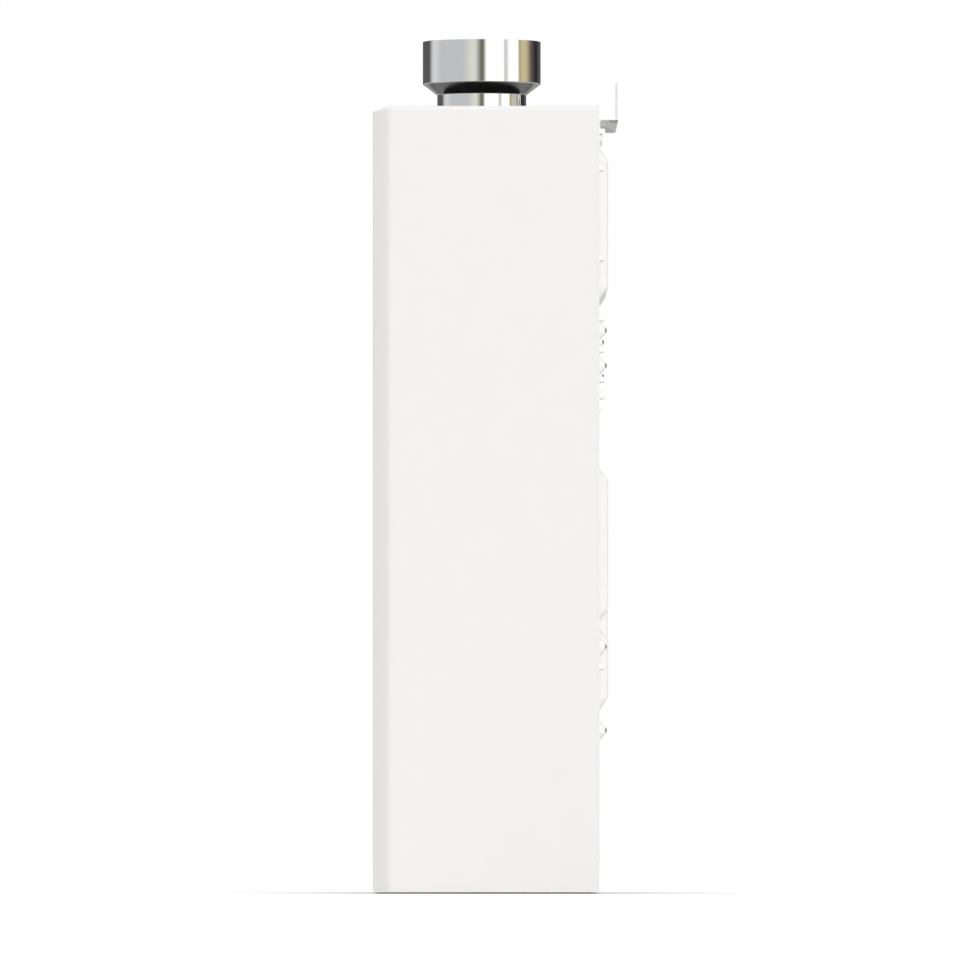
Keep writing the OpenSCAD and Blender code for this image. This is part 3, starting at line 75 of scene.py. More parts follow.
# Wall hanger
HANG_T, HANG_BEND, PLATE_Y, EAR_Y, GUSSET_X = 1.2, 2.0, 70.02, 82.79, 30.75
PLATE_FOOT, SHELF_Z, EAR_FOOT, HANG_HOLE_Z, EAR_TOP = 510.6, 531.1, 533.5, 545.3, 557.8
PLATE_HALF, SHELF_HALF, EAR_HALF, EAR_R = 32.0, 30.7, 26.0, 6.0
HANG_HOLE_R, SIDE_HOLE_X, SIDE_HOLE_R = 5.0, 17.0, 3.0

# Flue and the ring at its foot
FLUE_Y, FLUE_HOLE_R, FLUE_FOOT, CONE_FOOT, CONE_TOP, FLUE_TOP = -10.0, 39.7, 505.0, 549.6, 557.4, 586.5
NECK_R, SOCKET_R, TUBE_T = 30.7, 40.7, 0.7
RING_R, RING_BORE_R, RING_T, RIVET_RUN_R = 60.0, 38.0, 1.2, 50.5

# Display and buttons
DISPLAY_Z, DISPLAY_W, DISPLAY_H, DISPLAY_R = 192.0, 130.0, 56.0, 4.0
PANEL_Y, LIT_Y, PANEL_GAP, PANEL_T = Y_FRONT + 0.15, Y_FRONT + 0.12, 0.3, 3.0
POST_X, POST_RISE = 61.0, 24.0
BUTTON_XS = {"minus": 18.0, "plus": 36.0, "power": 54.0}
BUTTON_HOLE_R, SIGN_FOOT_Y, SIGN_TOP_Y = 6.3, -83.55, -83.95

# Pipe ends, cord gland, drain handle, and the gas valve's springs
FIT_Y, FIT_SPAN, FIT_BORE = 8.0, 116.0, 5.5
THREAD_LOW, THREAD_TOP, THREAD_R, THREAD_PITCH, THREAD_DEPTH = 6.0, 26.0, 10.48, 1.814, 1.1
GLAND_X, GLAND_Y, GLAND_BORE, GLAND_LOW, GLAND_HEX_Z, GLAND_TOP = -30.0, 50.0, 3.6, 24.0, 31.0, 40.0
DRAIN_X, HUB_R, HUB_BORE = 82.0, 7.0, 3.05
COIL_X, COIL_CAP_Z, LIFT = 20.0, 121.0, 2.5
SPRING_LOW, SPRING_TOP, SPRING_R, SPRING_WIRE, SPRING_TURNS = 109.45, 120.55, 3.0, 0.35, 5


# Meshes


def grid_faces(rows, cols, ring_rows=False, ring_cols=False):
    """Quads of a grid of points numbered row by row; a ring joins its last line to its first."""
    a, b = np.meshgrid(np.arange(rows - (not ring_rows)), np.arange(cols - (not ring_cols)), indexing="ij")
    c, d = (a + 1) % rows, (b + 1) % cols
    return np.stack([a * cols + b, c * cols + b, c * cols + d, a * cols + d], -1).reshape(-1, 4)


def grid_shell(points, ring_rows=False, ring_cols=False):
    """A (rows, cols, 3) array of points as a shell: its points in one list, and its quads."""
    rows, cols = points.shape[:2]
    return points.reshape(-1, 3), grid_faces(rows, cols, ring_rows, ring_cols)


def facing(shell, direction, at=None):
    """The shell with its faces turned so that their summed normal points along the direction. Where the faces
    differ too much for a sum, at picks those that count by their middles."""
    points, faces = shell
    p = points[faces]
    normal = np.cross(p[:, 2] - p[:, 0], p[:, 3] - p[:, 1])
    chosen = normal if at is None else normal[at(p.mean(1))]
    return (points, faces) if chosen.sum(0) @ np.asarray(direction, float) > 0 else (points, faces[:, ::-1])


def make_piece(name, shells, body, slot, stands_for=(), finish=None, sharp=35.0, wall=0.0, edge=0.0):
    """One object from several shells, in its slot's finish unless it has its own. Closed shells have their
    faces turned outwards. A sheet, given a wall, keeps the way its shells face and gets its thickness behind
    them; edge rounds its rim."""
    starts = np.cumsum([0] + [len(p) for p, _ in shells])
    points = np.concatenate([p for p, _ in shells]) * MM
    faces = np.concatenate([f + s for (_, f), s in zip(shells, starts)])
    mesh = bpy.data.meshes.new(name)
    mesh.from_pydata(points.tolist(), [], faces.tolist())
    work = bmesh.new()
    work.from_mesh(mesh)
    bmesh.ops.remove_doubles(work, verts=work.verts, dist=2e-6)
    bmesh.ops.dissolve_degenerate(work, edges=work.edges, dist=1e-6)
    if not wall:
        bmesh.ops.recalc_face_normals(work, faces=work.faces)
    work.to_mesh(mesh)
    work.free()
    mesh.shade_smooth()
    mesh.set_sharp_from_angle(angle=math.radians(sharp))
    mesh.materials.append(finish or FINISHES[slot])
    piece = bpy.data.objects.new(name, mesh)
    bpy.context.scene.collection.objects.link(piece)
    if wall:
        thick = piece.modifiers.new("wall", "SOLIDIFY")
        thick.thickness, thick.offset, thick.use_even_offset = wall * MM, -1.0, True
    if edge:
        rim = piece.modifiers.new("rim", "BEVEL")
        rim.width, rim.segments, rim.limit_method = edge * MM, 2, "ANGLE"
        rim.angle_limit, rim.harden_normals = math.radians(50), True
    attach(piece, body)
    if stands_for:
        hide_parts(*stands_for)
    return piece


def around(sides):
    """Angles in even steps round a circle."""
    return np.linspace(0, TURN, sides, endpoint=False)


def round_points(r, h, t):
    """Points at radius r, angle t and height h: (r cos t, r sin t, h)."""
    return np.stack([r * np.cos(t), r * np.sin(t), h + 0 * t], -1)


def run(line):
    """Length along a line up to each of its points."""
    return np.concatenate([[0], np.cumsum(np.linalg.norm(np.diff(line, axis=0), axis=1))])


def lines(*marks, step):
    """Grid lines through every mark, with others between them no more than a step apart."""
    marks = np.unique(np.round(marks, 6))
    return np.unique(np.concatenate([
        np.linspace(a, b, max(2, math.ceil((b - a) / step) + 1)) for a, b in zip(marks[:-1], marks[1:])
    ]))


def rounded_line(corners, radii, steps=8):
    """An open line of corners with an arc of its radius at each: arc(t) = middle + radius turned by t."""
    p = np.asarray(corners, float)
    parts = [p[:1]]
    for a, b, c, r in zip(p[:-2], p[1:-1], p[2:], radii[1:-1]):
        u, v = (a - b) / np.linalg.norm(a - b), (c - b) / np.linalg.norm(c - b)
        half = math.acos(np.clip(u @ v, -1, 1)) / 2
        middle = b + (u + v) / np.linalg.norm(u + v) * r / math.sin(half)
        x, y = b + u * r / math.tan(half) - middle
        turn = (math.pi - 2 * half) * np.sign((b - a)[0] * (c - b)[1] - (b - a)[1] * (c - b)[0])
        t = np.linspace(0, turn, steps + 1)
        parts.append(middle + np.stack([x * np.cos(t) - y * np.sin(t), x * np.sin(t) + y * np.cos(t)], 1))
    return np.concatenate([*parts, p[-1:]])


def turned_shell(line, middle, axis="z", sides=96):
    """A loop of (radius, height) points turned about an axis: radius (cos t, sin t) at its height."""
    line = np.asarray(line, float)
    points = round_points(line[:, :1], line[:, 1:2], around(sides))
    if axis == "y":
        points = points[..., [0, 2, 1]]
    return grid_shell(points + np.asarray(middle, float), ring_rows=True, ring_cols=True)


def rounded_outline(half_u, half_v, r, steps=8):
    """A rectangle with round corners, as a loop: an arc about (half_u - r, half_v - r) in each quarter."""
    t = np.arange(4)[:, None] * QUARTER + np.linspace(0, QUARTER, steps + 1)
    su, sv = np.array([[1], [-1], [-1], [1]]), np.array([[1], [1], [-1], [-1]])
    u = su * (half_u - r) + r * np.cos(t)
    v = sv * (half_v - r) + r * np.sin(t)
    return np.stack([u.ravel(), v.ravel()], 1)


def stacked_slab(outline, levels, place):
    """A closed slab: the outline drawn at each (height, scale about its middle) level, closed to the middle
    at both ends, and put in space by place(u, v, height)."""
    middle = outline.mean(0)
    ends = [(levels[0][0], 0.0), *levels, (levels[-1][0], 0.0)]
    h = np.array([height for height, _ in ends])[:, None] + 0 * outline[:, 0]
    s = np.array([scale for _, scale in ends])[:, None, None]
    uv = middle + (outline - middle) * s
    return grid_shell(np.stack(place(uv[..., 0], uv[..., 1], h), -1), ring_cols=True)


def pierced_grid(us, vs, holes=()):
    """Grid lines us by vs in a plane, with round holes. A hole (u, v, radius, half) takes out the cells
    within half of its middle, and rings fill the square up to the circle:
    ring(t) = (1 - t) square + t circle."""
    us, vs = np.unique(np.round(us, 6)), np.unique(np.round(vs, 6))
    u, v = np.meshgrid(us, vs, indexing="ij")
    flat = np.stack([u.ravel(), v.ravel()], 1)
    faces = grid_faces(len(us), len(vs))
    sheets, quads, count = [flat], [], len(flat)
    for cu, cv, radius, half in holes:
        near = np.abs(flat[faces].mean(1) - (cu, cv)) < half
        faces = faces[~near.all(1)]
        a = us[(us > cu - half - 1e-4) & (us < cu + half + 1e-4)]
        b = vs[(vs > cv - half - 1e-4) & (vs < cv + half + 1e-4)]
        square = np.concatenate([
            np.stack([a[:-1], 0 * a[:-1] + b[0]], 1),
            np.stack([0 * b[:-1] + a[-1], b[:-1]], 1),
            np.stack([a[:0:-1], 0 * a[1:] + b[-1]], 1),
            np.stack([0 * b[1:] + a[0], b[:0:-1]], 1),
        ])
        away = square - (cu, cv)
        circle = (cu, cv) + radius * away / np.linalg.norm(away, axis=1, keepdims=True)
        t = np.array([0, 0.35, 0.7, 0.94, 1.0])[:, None, None]
        rings = (1 - t) * square + t * circle
        sheets.append(rings.reshape(-1, 2))
        quads.append(grid_faces(len(t), len(square), ring_cols=True)[:, ::-1] + count)
        count += rings.shape[0] * rings.shape[1]
    return np.concatenate(sheets), np.concatenate([faces, *quads])


# Casing

SIDE_LINE = rounded_line(
    [[0, Y_SEAM], [0, Y_FRONT + TAPER_D], [TAPER_IN, Y_FRONT], [FACE_INSET, Y_FRONT]],
    [0, TAPER_R, TAPER_EDGE_R, 0], 12,
)
SIDE_V = Y_SEAM - run(SIDE_LINE)
TOP_RUN, CORNER_RUN, SIDE_RUN = HALF_W - CORNER_R, CORNER_R * QUARTER, BODY_H - CORNER_R


def casing_point(u, v):
    """A point of the drawn cover. v runs along the section from the rear edge to the front face and gives its
    inset and depth. u runs along the hoop: across the top it is x, then it follows the corner's arc and the
    side down to the floor."""
    inset, y = np.interp(-v, -SIDE_V, SIDE_LINE[:, 0]), np.interp(-v, -SIDE_V, SIDE_LINE[:, 1])
    deep, radius = np.maximum(inset, CORNER_R), np.maximum(CORNER_R - inset, 0)
    along = np.abs(u)
    turn = np.clip((along - TOP_RUN) / CORNER_RUN, 0, 1) * QUARTER
    drop = np.clip((along - TOP_RUN - CORNER_RUN) / SIDE_RUN, 0, 1)
    x = np.clip(along / TOP_RUN, 0, 1) * (HALF_W - deep) + radius * np.sin(turn)
    z = (BODY_H - deep + radius * np.cos(turn)) * (1 - drop)
    return np.stack([np.sign(u) * x, y, z], -1)


def window_point(x, z):
    """Where the ray from the display's middle through (x, z) meets its window: the edge of the rectangle, or
    the circle in its corner."""
    half_w, half_h, r = DISPLAY_W / 2, DISPLAY_H / 2, DISPLAY_R
    dx, dz = x, z - DISPLAY_Z
    scale = 1 / np.maximum(np.abs(dx) / half_w, np.abs(dz) / half_h)
    cx, cz = np.sign(dx) * (half_w - r), np.sign(dz) * (half_h - r)
    along, square = dx * cx + dz * cz, dx * dx + dz * dz
    root = np.maximum(along**2 - square * (cx**2 + cz**2 - r * r), 0)
    in_corner = (np.abs(dx * scale) > half_w - r) & (np.abs(dz * scale) > half_h - r)
    scale = np.where(in_corner, (along + np.sqrt(root)) / square, scale)
    return dx * scale, DISPLAY_Z + dz * scale


def cover_shells():
    """The drawn cover as an open sheet: the hoop of sides, top and tapered edge with the flue hole in its
    top, and the front face between that hoop and the display's window:
    face(t) = (1 - t) hoop's edge + t window."""
    side, floor, apart = TOP_RUN + CORNER_RUN, TOP_RUN + CORNER_RUN + SIDE_RUN, 48.0
    # Close rows where the rays through the window's round corners meet the face's edge
    corner_rows = [
        side + SIDE_RUN * (1 - np.linspace(z + 9, z - 9, 12) / (BODY_H - FACE_INSET)) for z in (257, 127)
    ]
    down = np.concatenate([
        np.linspace(TOP_RUN, side, 9), side + np.array([0.6, 6, 24]), lines(side + 24, floor, step=14),
        *corner_rows, [floor - 1],
    ])
    across = lines(-TOP_RUN, -TOP_RUN + 0.6, -apart, apart, TOP_RUN - 0.6, TOP_RUN, step=8)
    us = np.concatenate([-down, across, down])
    vs = np.concatenate([SIDE_V, lines(SIDE_V[1] + 0.5, FLUE_Y - apart, FLUE_Y + apart, Y_SEAM - 1, step=8)])
    flat, faces = pierced_grid(us, vs, [(0, FLUE_Y, FLUE_HOLE_R, apart)])
    hoop = casing_point(flat[:, 0], flat[:, 1]), faces
    us = np.unique(np.round(us, 6))
    edge = casing_point(us, np.full(len(us), SIDE_V[-1]))
    foot = np.linspace(edge[-1], edge[0], 60)[1:-1]
    loop = np.concatenate([edge, foot])
    wx, wz = window_point(loop[:, 0], loop[:, 2])
    window = np.stack([wx, loop[:, 1], wz], 1)
    t = np.array([0, 0.04, 0.35, 0.7, 0.97, 1])[:, None, None]
    front = grid_shell((1 - t) * loop + t * window, ring_cols=True)
    return [facing(hoop, (0, 0, 1), lambda middle: middle[:, 2] > BODY_H - 0.01), facing(front, (0, -1, 0))]


def tab_shells():
    """Screw tabs inside the skirt: slabs with round corners, their rims eased."""
    outline = rounded_outline(8.3, 8.0, 2.0, 5)
    levels = [(-1.0, 0.98), (-0.85, 1.0), (-0.15, 1.0), (0.0, 0.98)]
    return [
        stacked_slab(outline, levels, lambda u, v, h, s=s, y=y: (s * (TAB_X + u), y + v, RECESS_H + h))
        for s in (-1, 1) for y in TAB_YS
    ]


def soft_ramp(t, w=0.16):
    """A straight ramp from 0 at t = 0 to 1 at t = 1, with a parabola of half width w for each bend."""
    low = np.clip(t + w, 0, 2 * w) ** 2 / (4 * w) + np.clip(t - w, 0, None)
    return low - np.clip(t - 1 + w, 0, 2 * w) ** 2 / (4 * w) - np.clip(t - 1 - w, 0, None)


def pressed_rise(x, z):
    """How far the pressings stand out at (x, z): a soft ramp of the distance inside each rounded rectangle,
    and of the distance from each screw's axis for its boss."""
    rise = 0 * x
    for low, high, half in EMBOSSES:
        r = min(EMBOSS_R, (high - low) / 3)
        qx = np.abs(x) - (half - r)
        qz = np.abs(z - (low + high) / 2) - ((high - low) / 2 - r)
        outside = np.hypot(np.maximum(qx, 0), np.maximum(qz, 0)) + np.minimum(np.maximum(qx, qz), 0) - r
        rise = np.maximum(rise, EMBOSS_RISE * soft_ramp(-outside / EMBOSS_SLOPE))
    for screw_z in SCREW_ZS:
        inside = BOSS_R - np.hypot(np.abs(x) - SCREW_X, z - screw_z)
        rise = np.maximum(rise, BOSS_RISE * soft_ramp(inside / BOSS_SLOPE, 0.25))
    return rise


def back_panel_shells():
    """The pressed back panel: a sheet whose depth is the back plane plus the pressings' rise, with two fixing
    holes, and the flange that the cover slides over, which is the panel's outline carried forwards."""
    top, apart = BODY_H + LIP_H, 8.0
    hole_low, hole_high = FIXING_Z - apart, FIXING_Z + apart
    slope_zs = [np.arange(low - 2, low + 21, 1.4) for low, _, _ in EMBOSSES[:3]]
    slope_zs += [np.arange(high - 21, high + 2.1, 1.4) for _, high, _ in EMBOSSES[:3]]
    boss_zs = [np.arange(z - 8, z + 8.1, 1.0) for z in SCREW_ZS]
    corner = top - CORNER_R * (1 - np.sin(np.linspace(0, QUARTER, 8)))
    plain = lines(0, hole_low, hole_high, top - CORNER_R, top, step=12)
    zs = np.concatenate([plain, *slope_zs, *boss_zs, corner])
    beside_hole = (zs < hole_low + 0.01) | (zs > hole_high - 0.01)
    zs = zs[beside_hole | np.isin(zs, lines(hole_low, hole_high, step=12))]
    slope_xs = [np.arange(44.0, 57.0, 1.4), np.arange(79.0, 102.0, 1.4)]
    soft_xs = np.concatenate([*slope_xs, np.arange(SCREW_X - 8, SCREW_X + 8.1, 1.0)])
    hole_in, hole_out = FIXING_X - apart, FIXING_X + apart
    xs = lines(-HALF_W, -hole_out, -hole_in, hole_in, hole_out, HALF_W, step=4)
    holes = [(s * FIXING_X, FIXING_Z, FIXING_R, apart) for s in (-1, 1)]
    flat, faces = pierced_grid(np.concatenate([xs, soft_xs, -soft_xs]), zs, holes)
    x, z = flat.T
    over = np.clip(z - (top - CORNER_R), 0, CORNER_R)
    limit = HALF_W - CORNER_R + np.sqrt(CORNER_R**2 - over**2)
    panel = np.stack([np.clip(x, -limit, limit), Y_BACK + pressed_rise(x, z), z], 1), faces
    hoop = rounded_line(
        [[-FLANGE_X, FLANGE_FOOT], [-FLANGE_X, FLANGE_TOP], [FLANGE_X, FLANGE_TOP], [FLANGE_X, FLANGE_FOOT]],
        [0, CORNER_R, CORNER_R, 0], 6,
    )
    depth = np.linspace(Y_BACK - 0.5, FLANGE_FRONT, 5)[:, None]
    flange = grid_shell(np.stack(np.broadcast_arrays(hoop[:, 0], depth, hoop[:, 1]), -1))
    flange = facing(flange, (0, 0, 1), lambda middle: middle[:, 2] > FLANGE_TOP - 0.1)
    return [facing(panel, (0, 1, 0)), flange]


def bridge_shells():
    """Small lanced bridges along the panel's sides: rounded bars that draw in as they rise."""
    outline = rounded_outline(6.0, 2.2, 1.8, 6)
    levels = [(-0.3, 1.0), (0.4, 1.0), (2.2, 0.93), (3.0, 0.84), (3.4, 0.66)]
    return [
        stacked_slab(outline, levels, lambda u, v, h, s=s, z=z: (s * (BRIDGE_X + u), Y_BACK + h, z + v))
        for s in (-1, 1) for z in BRIDGE_ZS
    ]


def hanger_shells():
    """The wall hanger as a bent strip, plate to shelf to ear: (x, y, z) = (across, line(s)), the ear
    narrower, with round top corners and three holes. The shelf stops at the gussets, which close its
    sides."""
    line = rounded_line(
        [[PLATE_Y, PLATE_FOOT], [PLATE_Y, SHELF_Z], [EAR_Y, SHELF_Z], [EAR_Y, EAR_TOP]],
        [0, HANG_BEND, HANG_BEND, 0], 8,
    )
    s = run(line)
    shelf_start, ear_top = s[9], s[-1]
    ear_foot, mid = ear_top - (EAR_TOP - EAR_FOOT), ear_top - (EAR_TOP - HANG_HOLE_Z)
    ss = np.concatenate([
        s[:-1], [shelf_start + 0.01, ear_foot + 0.01, 1.0],
        lines(ear_foot + 0.01, mid - 7, mid - 5, mid + 5, mid + 7, ear_top, step=3),
        ear_top - EAR_R * (1 - np.sin(np.linspace(0, QUARTER, 9))),
    ])
    xs = lines(-PLATE_HALF, -EAR_HALF, -22, -12, -7, 7, 12, 22, EAR_HALF, PLATE_HALF, step=3)
    side_holes = [(side * SIDE_HOLE_X, mid, SIDE_HOLE_R, 5) for side in (-1, 1)]
    flat, faces = pierced_grid(xs, ss, [(0, mid, HANG_HOLE_R, 7), *side_holes])
    x, along = flat.T
    over = np.clip(along - (ear_top - EAR_R), 0, EAR_R)
    ear_half = EAR_HALF - EAR_R + np.sqrt(EAR_R**2 - over**2)
    limit = np.where(along > ear_foot, ear_half, np.where(along > shelf_start, SHELF_HALF, PLATE_HALF))
    y, z = np.interp(along, s, line[:, 0]), np.interp(along, s, line[:, 1])
    strip = np.stack([np.clip(x, -limit, limit), y, z], 1), faces
    return [facing(strip, (0, -1, 0), lambda middle: middle[:, 2] < SHELF_Z - HANG_BEND)]


def gusset_shells():
    """Side gussets of the hanger: a stepped outline in (y, z), 1.2 thick, with eased rims."""
    corners = [[72.1, 531.08], [72.1, 528.4], [75.5, 528.4], [75.5, 525.2], [82.75, 525.2], [83.95, 531.08]]
    loop = np.array([*corners, corners[0], corners[1]], float)
    outline = rounded_line(loop, [0, 0.4, 0.8, 0.8, 0.8, 0.4, 0.4, 0], 4)[1:-1]
    levels = [(0.0, 0.985), (0.1, 1.0), (1.1, 1.0), (1.2, 0.985)]
    return [stacked_slab(outline, levels, lambda u, v, h, s=s: (s * (GUSSET_X + h), u, v)) for s in (-1, 1)]


def flue_shells():
    """The flue adapter, turned from one tube: neck, cone and socket, with tight bends and a rolled rim."""
    neck_bore, socket_bore = NECK_R - TUBE_T, SOCKET_R - TUBE_T
    outside = [[NECK_R, FLUE_FOOT], [NECK_R, CONE_FOOT], [SOCKET_R, CONE_TOP], [SOCKET_R, FLUE_TOP]]
    inside = [
        [socket_bore, FLUE_TOP], [socket_bore, CONE_TOP + 0.1],
        [neck_bore, CONE_FOOT + 0.2], [neck_bore, FLUE_FOOT],
    ]
    wall = rounded_line(outside + inside, [0, 0.5, 0.4, 0.3, 0.3, 0.3, 0.8, 0], 6)
    return [turned_shell(wall, (0, FLUE_Y, 0), sides=192)]


def trim_ring_shells():
    """The steel ring on the cover's top: a flat turned section with eased rims."""
    low, high, start = BODY_H, BODY_H + RING_T, [50.0, BODY_H]
    corners = [start, [RING_R, low], [RING_R - 0.6, high], [RING_BORE_R, high], [RING_BORE_R, low], start]
    section = rounded_line(corners, [0, 0.1, 0.4, 0.4, 0.1, 0], 4)
    return [turned_shell(section[:-1], (0, FLUE_Y, 0), sides=160)]


def rivet_shells():
    """Four blind rivets in the ring: a low turned dome with a hollow middle."""
    dome = rounded_line(
        [[0.05, 535.7], [1.3, 535.7], [1.5, 536.7], [3.4, 535.9], [3.4, 535.15], [0.05, 535.15]],
        [0, 0.2, 0.4, 0.5, 0.1, 0], 4,
    )
    t = np.radians([45, 135, 225, 315])
    places = round_points(RIVET_RUN_R, 0 * t, t) + (0, FLUE_Y, 0)
    return [turned_shell(dome, place, sides=32) for place in places]


# Display and buttons


def panel_shells():
    """The display panel's face: a flat sheet with round corners and button holes, just behind the front."""
    apart = 8.5
    half_w, half_h, r = DISPLAY_W / 2 - PANEL_GAP, DISPLAY_H / 2 - PANEL_GAP, DISPLAY_R - PANEL_GAP
    arc = r * (1 - np.cos(np.linspace(0, QUARTER, 7)))
    low, high = DISPLAY_Z - half_h, DISPLAY_Z + half_h
    rows = lines(low, DISPLAY_Z - apart, DISPLAY_Z + apart, high, step=2.2)
    zs = np.concatenate([rows, low + arc, high - arc])
    marks = [x + s for x in BUTTON_XS.values() for s in (-apart, apart)]
    xs = lines(-half_w, *marks, half_w, step=2.2)
    flat, faces = pierced_grid(xs, zs, [(x, DISPLAY_Z, BUTTON_HOLE_R, apart) for x in BUTTON_XS.values()])
    x, z = flat.T
    over = np.clip(np.abs(z - DISPLAY_Z) - (half_h - r), 0, r)
    limit = half_w - r + np.sqrt(r * r - over**2)
    return [facing((np.stack([np.clip(x, -limit, limit), 0 * x + PANEL_Y, z], 1), faces), (0, -1, 0))]


def panel_frame_shells():
    """The rim behind the panel that holds it in the cover, a rectangular section carried round the panel's
    outline, and the four turned posts of the board."""
    outline = rounded_outline(DISPLAY_W / 2 + 4, DISPLAY_H / 2 + 4, 8, 8)
    section = np.array([[1.0, -83.0], [1.0, -80.5], [0.94, -80.5], [0.94, -83.0]])
    loop = outline[None] * section[:, :1, None]
    rim = np.stack([loop[..., 0], section[:, 1:2] + 0 * loop[..., 0], DISPLAY_Z + loop[..., 1]], -1)
    post = rounded_line([[0, -81], [3, -81], [3, -75.6], [0, -75.6]], [0, 0.2, 0.2, 0], 3)
    places = [(sx * POST_X, 0, DISPLAY_Z + sz * POST_RISE) for sx in (-1, 1) for sz in (-1, 1)]
    posts = [turned_shell(post, place, "y", 32) for place in places]
    return [grid_shell(rim, ring_rows=True, ring_cols=True), *posts]


def button_shells(x):
    """A push button turned about its axis: a cap dished by a parabola, with a round edge, and the flange
    behind the panel."""
    dish_r, dish_y, dish_deep = 4.8, -83.76, 0.14
    r = np.linspace(0, dish_r, 9)
    face = np.stack([r, dish_y + dish_deep * (1 - (r / dish_r) ** 2)], 1)
    line = rounded_line(
        [[dish_r, dish_y], [6.0, -83.9], [6.0, -80.2], [7.5, -80.2], [7.5, -79.0], [0, -79.0]],
        [0, 0.5, 0.2, 0.2, 0.2, 0], 6,
    )
    return [turned_shell(np.concatenate([face, line]), (x, 0, DISPLAY_Z), "y", 64)]


def front_place(x, z, low, high):
    """Puts a flat sign on the front: its (u, v) about (x, z), its heights from low to high in depth."""
    return lambda u, v, h: (x + u, low + (high - low) * h, z + v)


SIGN_LEVELS, LIT_LEVELS = [(0.0, 1.0), (0.7, 1.0), (1.0, 0.97)], [(0.0, 1.0), (1.0, 1.0)]


def bar(width, height):
    """Outline of a short bar with round ends."""
    return rounded_outline(width / 2, height / 2, min(width, height) / 2 - 0.01, 5)


def band_shell(radius, width, start, end, place):
    """A raised band along an arc, as a loop of four corners carried along it. The ends of an open arc close
    to their middles."""
    t = np.radians(np.linspace(start, end, 48))[:, None]
    is_open = end - start < 360
    if is_open:
        t = np.concatenate([t[:1], t, t[-1:]])
    r = radius + np.array([-0.5, 0.5, 0.42, -0.42]) * width + 0 * t
    h = np.array([0.0, 0.0, 1.0, 1.0]) + 0 * t
    if is_open:
        r[[0, -1]], h[[0, -1]] = radius, 0.5
    return grid_shell(np.stack(place(r * np.cos(t), r * np.sin(t), h), -1), ring_cols=True)


def sign_shells(kind, x):
    """The sign on a button: a bar, two crossed bars, or an open ring with a stroke."""
    place = front_place(x, DISPLAY_Z, SIGN_FOOT_Y, SIGN_TOP_Y)
    across, upright = bar(5.2, 0.9), bar(0.9, 5.2)
    if kind == "minus":
        return [stacked_slab(across, SIGN_LEVELS, place)]
    if kind == "plus":
        return [stacked_slab(across, SIGN_LEVELS, place), stacked_slab(upright, SIGN_LEVELS, place)]
    stroke = front_place(x, DISPLAY_Z + 1.7, SIGN_FOOT_Y, SIGN_TOP_Y)
    return [band_shell(2.3, 0.8, 125, 415, place), stacked_slab(bar(0.8, 2.8), SIGN_LEVELS, stroke)]


# Lit bars of a figure, by letter: middle (u, v) and whether it stands upright
FIGURE_BARS = {
    "a": (0, 10, False), "b": (5.2, 5, True), "c": (5.2, -5, True), "d": (0, -10, False),
    "e": (-5.2, -5, True), "f": (-5.2, 5, True), "g": (0, 0, False),
}


def figure_shells(lit, x):
    """A figure of up to seven pointed bars, leaning by a twelfth."""
    across = np.array([[-4.4, 0], [-3.4, -1], [3.4, -1], [4.4, 0], [3.4, 1], [-3.4, 1]])
    upright = across[:, ::-1] * (1, -1)
    flat = front_place(x, DISPLAY_Z, PANEL_Y, LIT_Y)
    bars = [FIGURE_BARS[letter] for letter in lit]
    outlines = [(upright if stands else across) + (u, v) for u, v, stands in bars]
    return [stacked_slab(outline, LIT_LEVELS, lambda u, v, h: flat(u + v / 12, v, h)) for outline in outlines]


def drop_outline(width, height, lean=0.0):
    """Outline of a drop with its point up: across, width / 1.3 times sin(t) |cos(t / 2)|^1.4; up, half the
    height times -cos(t); and its point leans aside with the cube of the height."""
    t = around(48)
    u, v = np.sin(t) * np.abs(np.cos(t / 2)) ** 1.4 * width / 1.3, -np.cos(t) * height / 2
    return np.stack([u + lean * (v / height + 0.5) ** 3, v], 1)


def lit_slab(outline, x, z):
    """A lit sign of the display: its outline as a thin slab on the panel's face."""
    return stacked_slab(outline, LIT_LEVELS, front_place(x, z, PANEL_Y, LIT_Y))


# Pipe ends below


def thread_shell(x):
    """A pipe's threaded end: radius(t, z) = crest - depth * w, where w is the triangle wave of
    z / pitch - t / 2 pi, faded to the root at both ends, then round its end into the bore."""
    low, high = THREAD_LOW, THREAD_TOP
    t = around(48)
    z = np.linspace(high, low, 97)[:, None]
    wave = np.abs(((z / THREAD_PITCH - t / TURN) % 1) * 2 - 1)
    wave = np.clip(wave * 1.25 - 0.12, 0, 1)
    fade = np.clip((z - low) / (1.2 * THREAD_PITCH), 0, 1) * np.clip((high - z) / (0.6 * THREAD_PITCH), 0, 1)
    outer = round_points(THREAD_R - THREAD_DEPTH * (1 - fade * (1 - wave)), z, t)
    root = THREAD_R - THREAD_DEPTH - 0.2
    line = np.array([[FIT_BORE + 0.6, low], [FIT_BORE, low + 0.6], [FIT_BORE, high + 6], [root, high + 6]])
    inner = round_points(line[:, :1], line[:, 1:], t)
    return grid_shell(np.concatenate([outer, inner]) + (x, FIT_Y, 0), ring_rows=True, ring_cols=True)


def hex_shell(x, y, low, high, corner, bore):
    """A hexagon collar: radius(t) = flat / cos(t mod 60 - 30), cut by a 30 degree chamfer at both faces."""
    t = around(96)
    flat = corner * math.cos(math.pi / 6)
    six = flat / np.cos((t % (math.pi / 3)) - math.pi / 6)
    rise = np.array([0, 0.25, 0.5, 0.8, 1.2, 1.6, 2.4])
    z = np.concatenate([low + rise, high - rise[::-1]])[:, None]
    chamfer = flat - 0.5 + np.minimum(z - low, high - z) * 1.75
    wall = round_points(np.minimum(six, chamfer), z, t)
    inner = round_points(np.full((2, 1), bore), np.array([[high], [low]]), t)
    return grid_shell(np.concatenate([wall, inner]) + (x, y, 0), ring_rows=True, ring_cols=True)


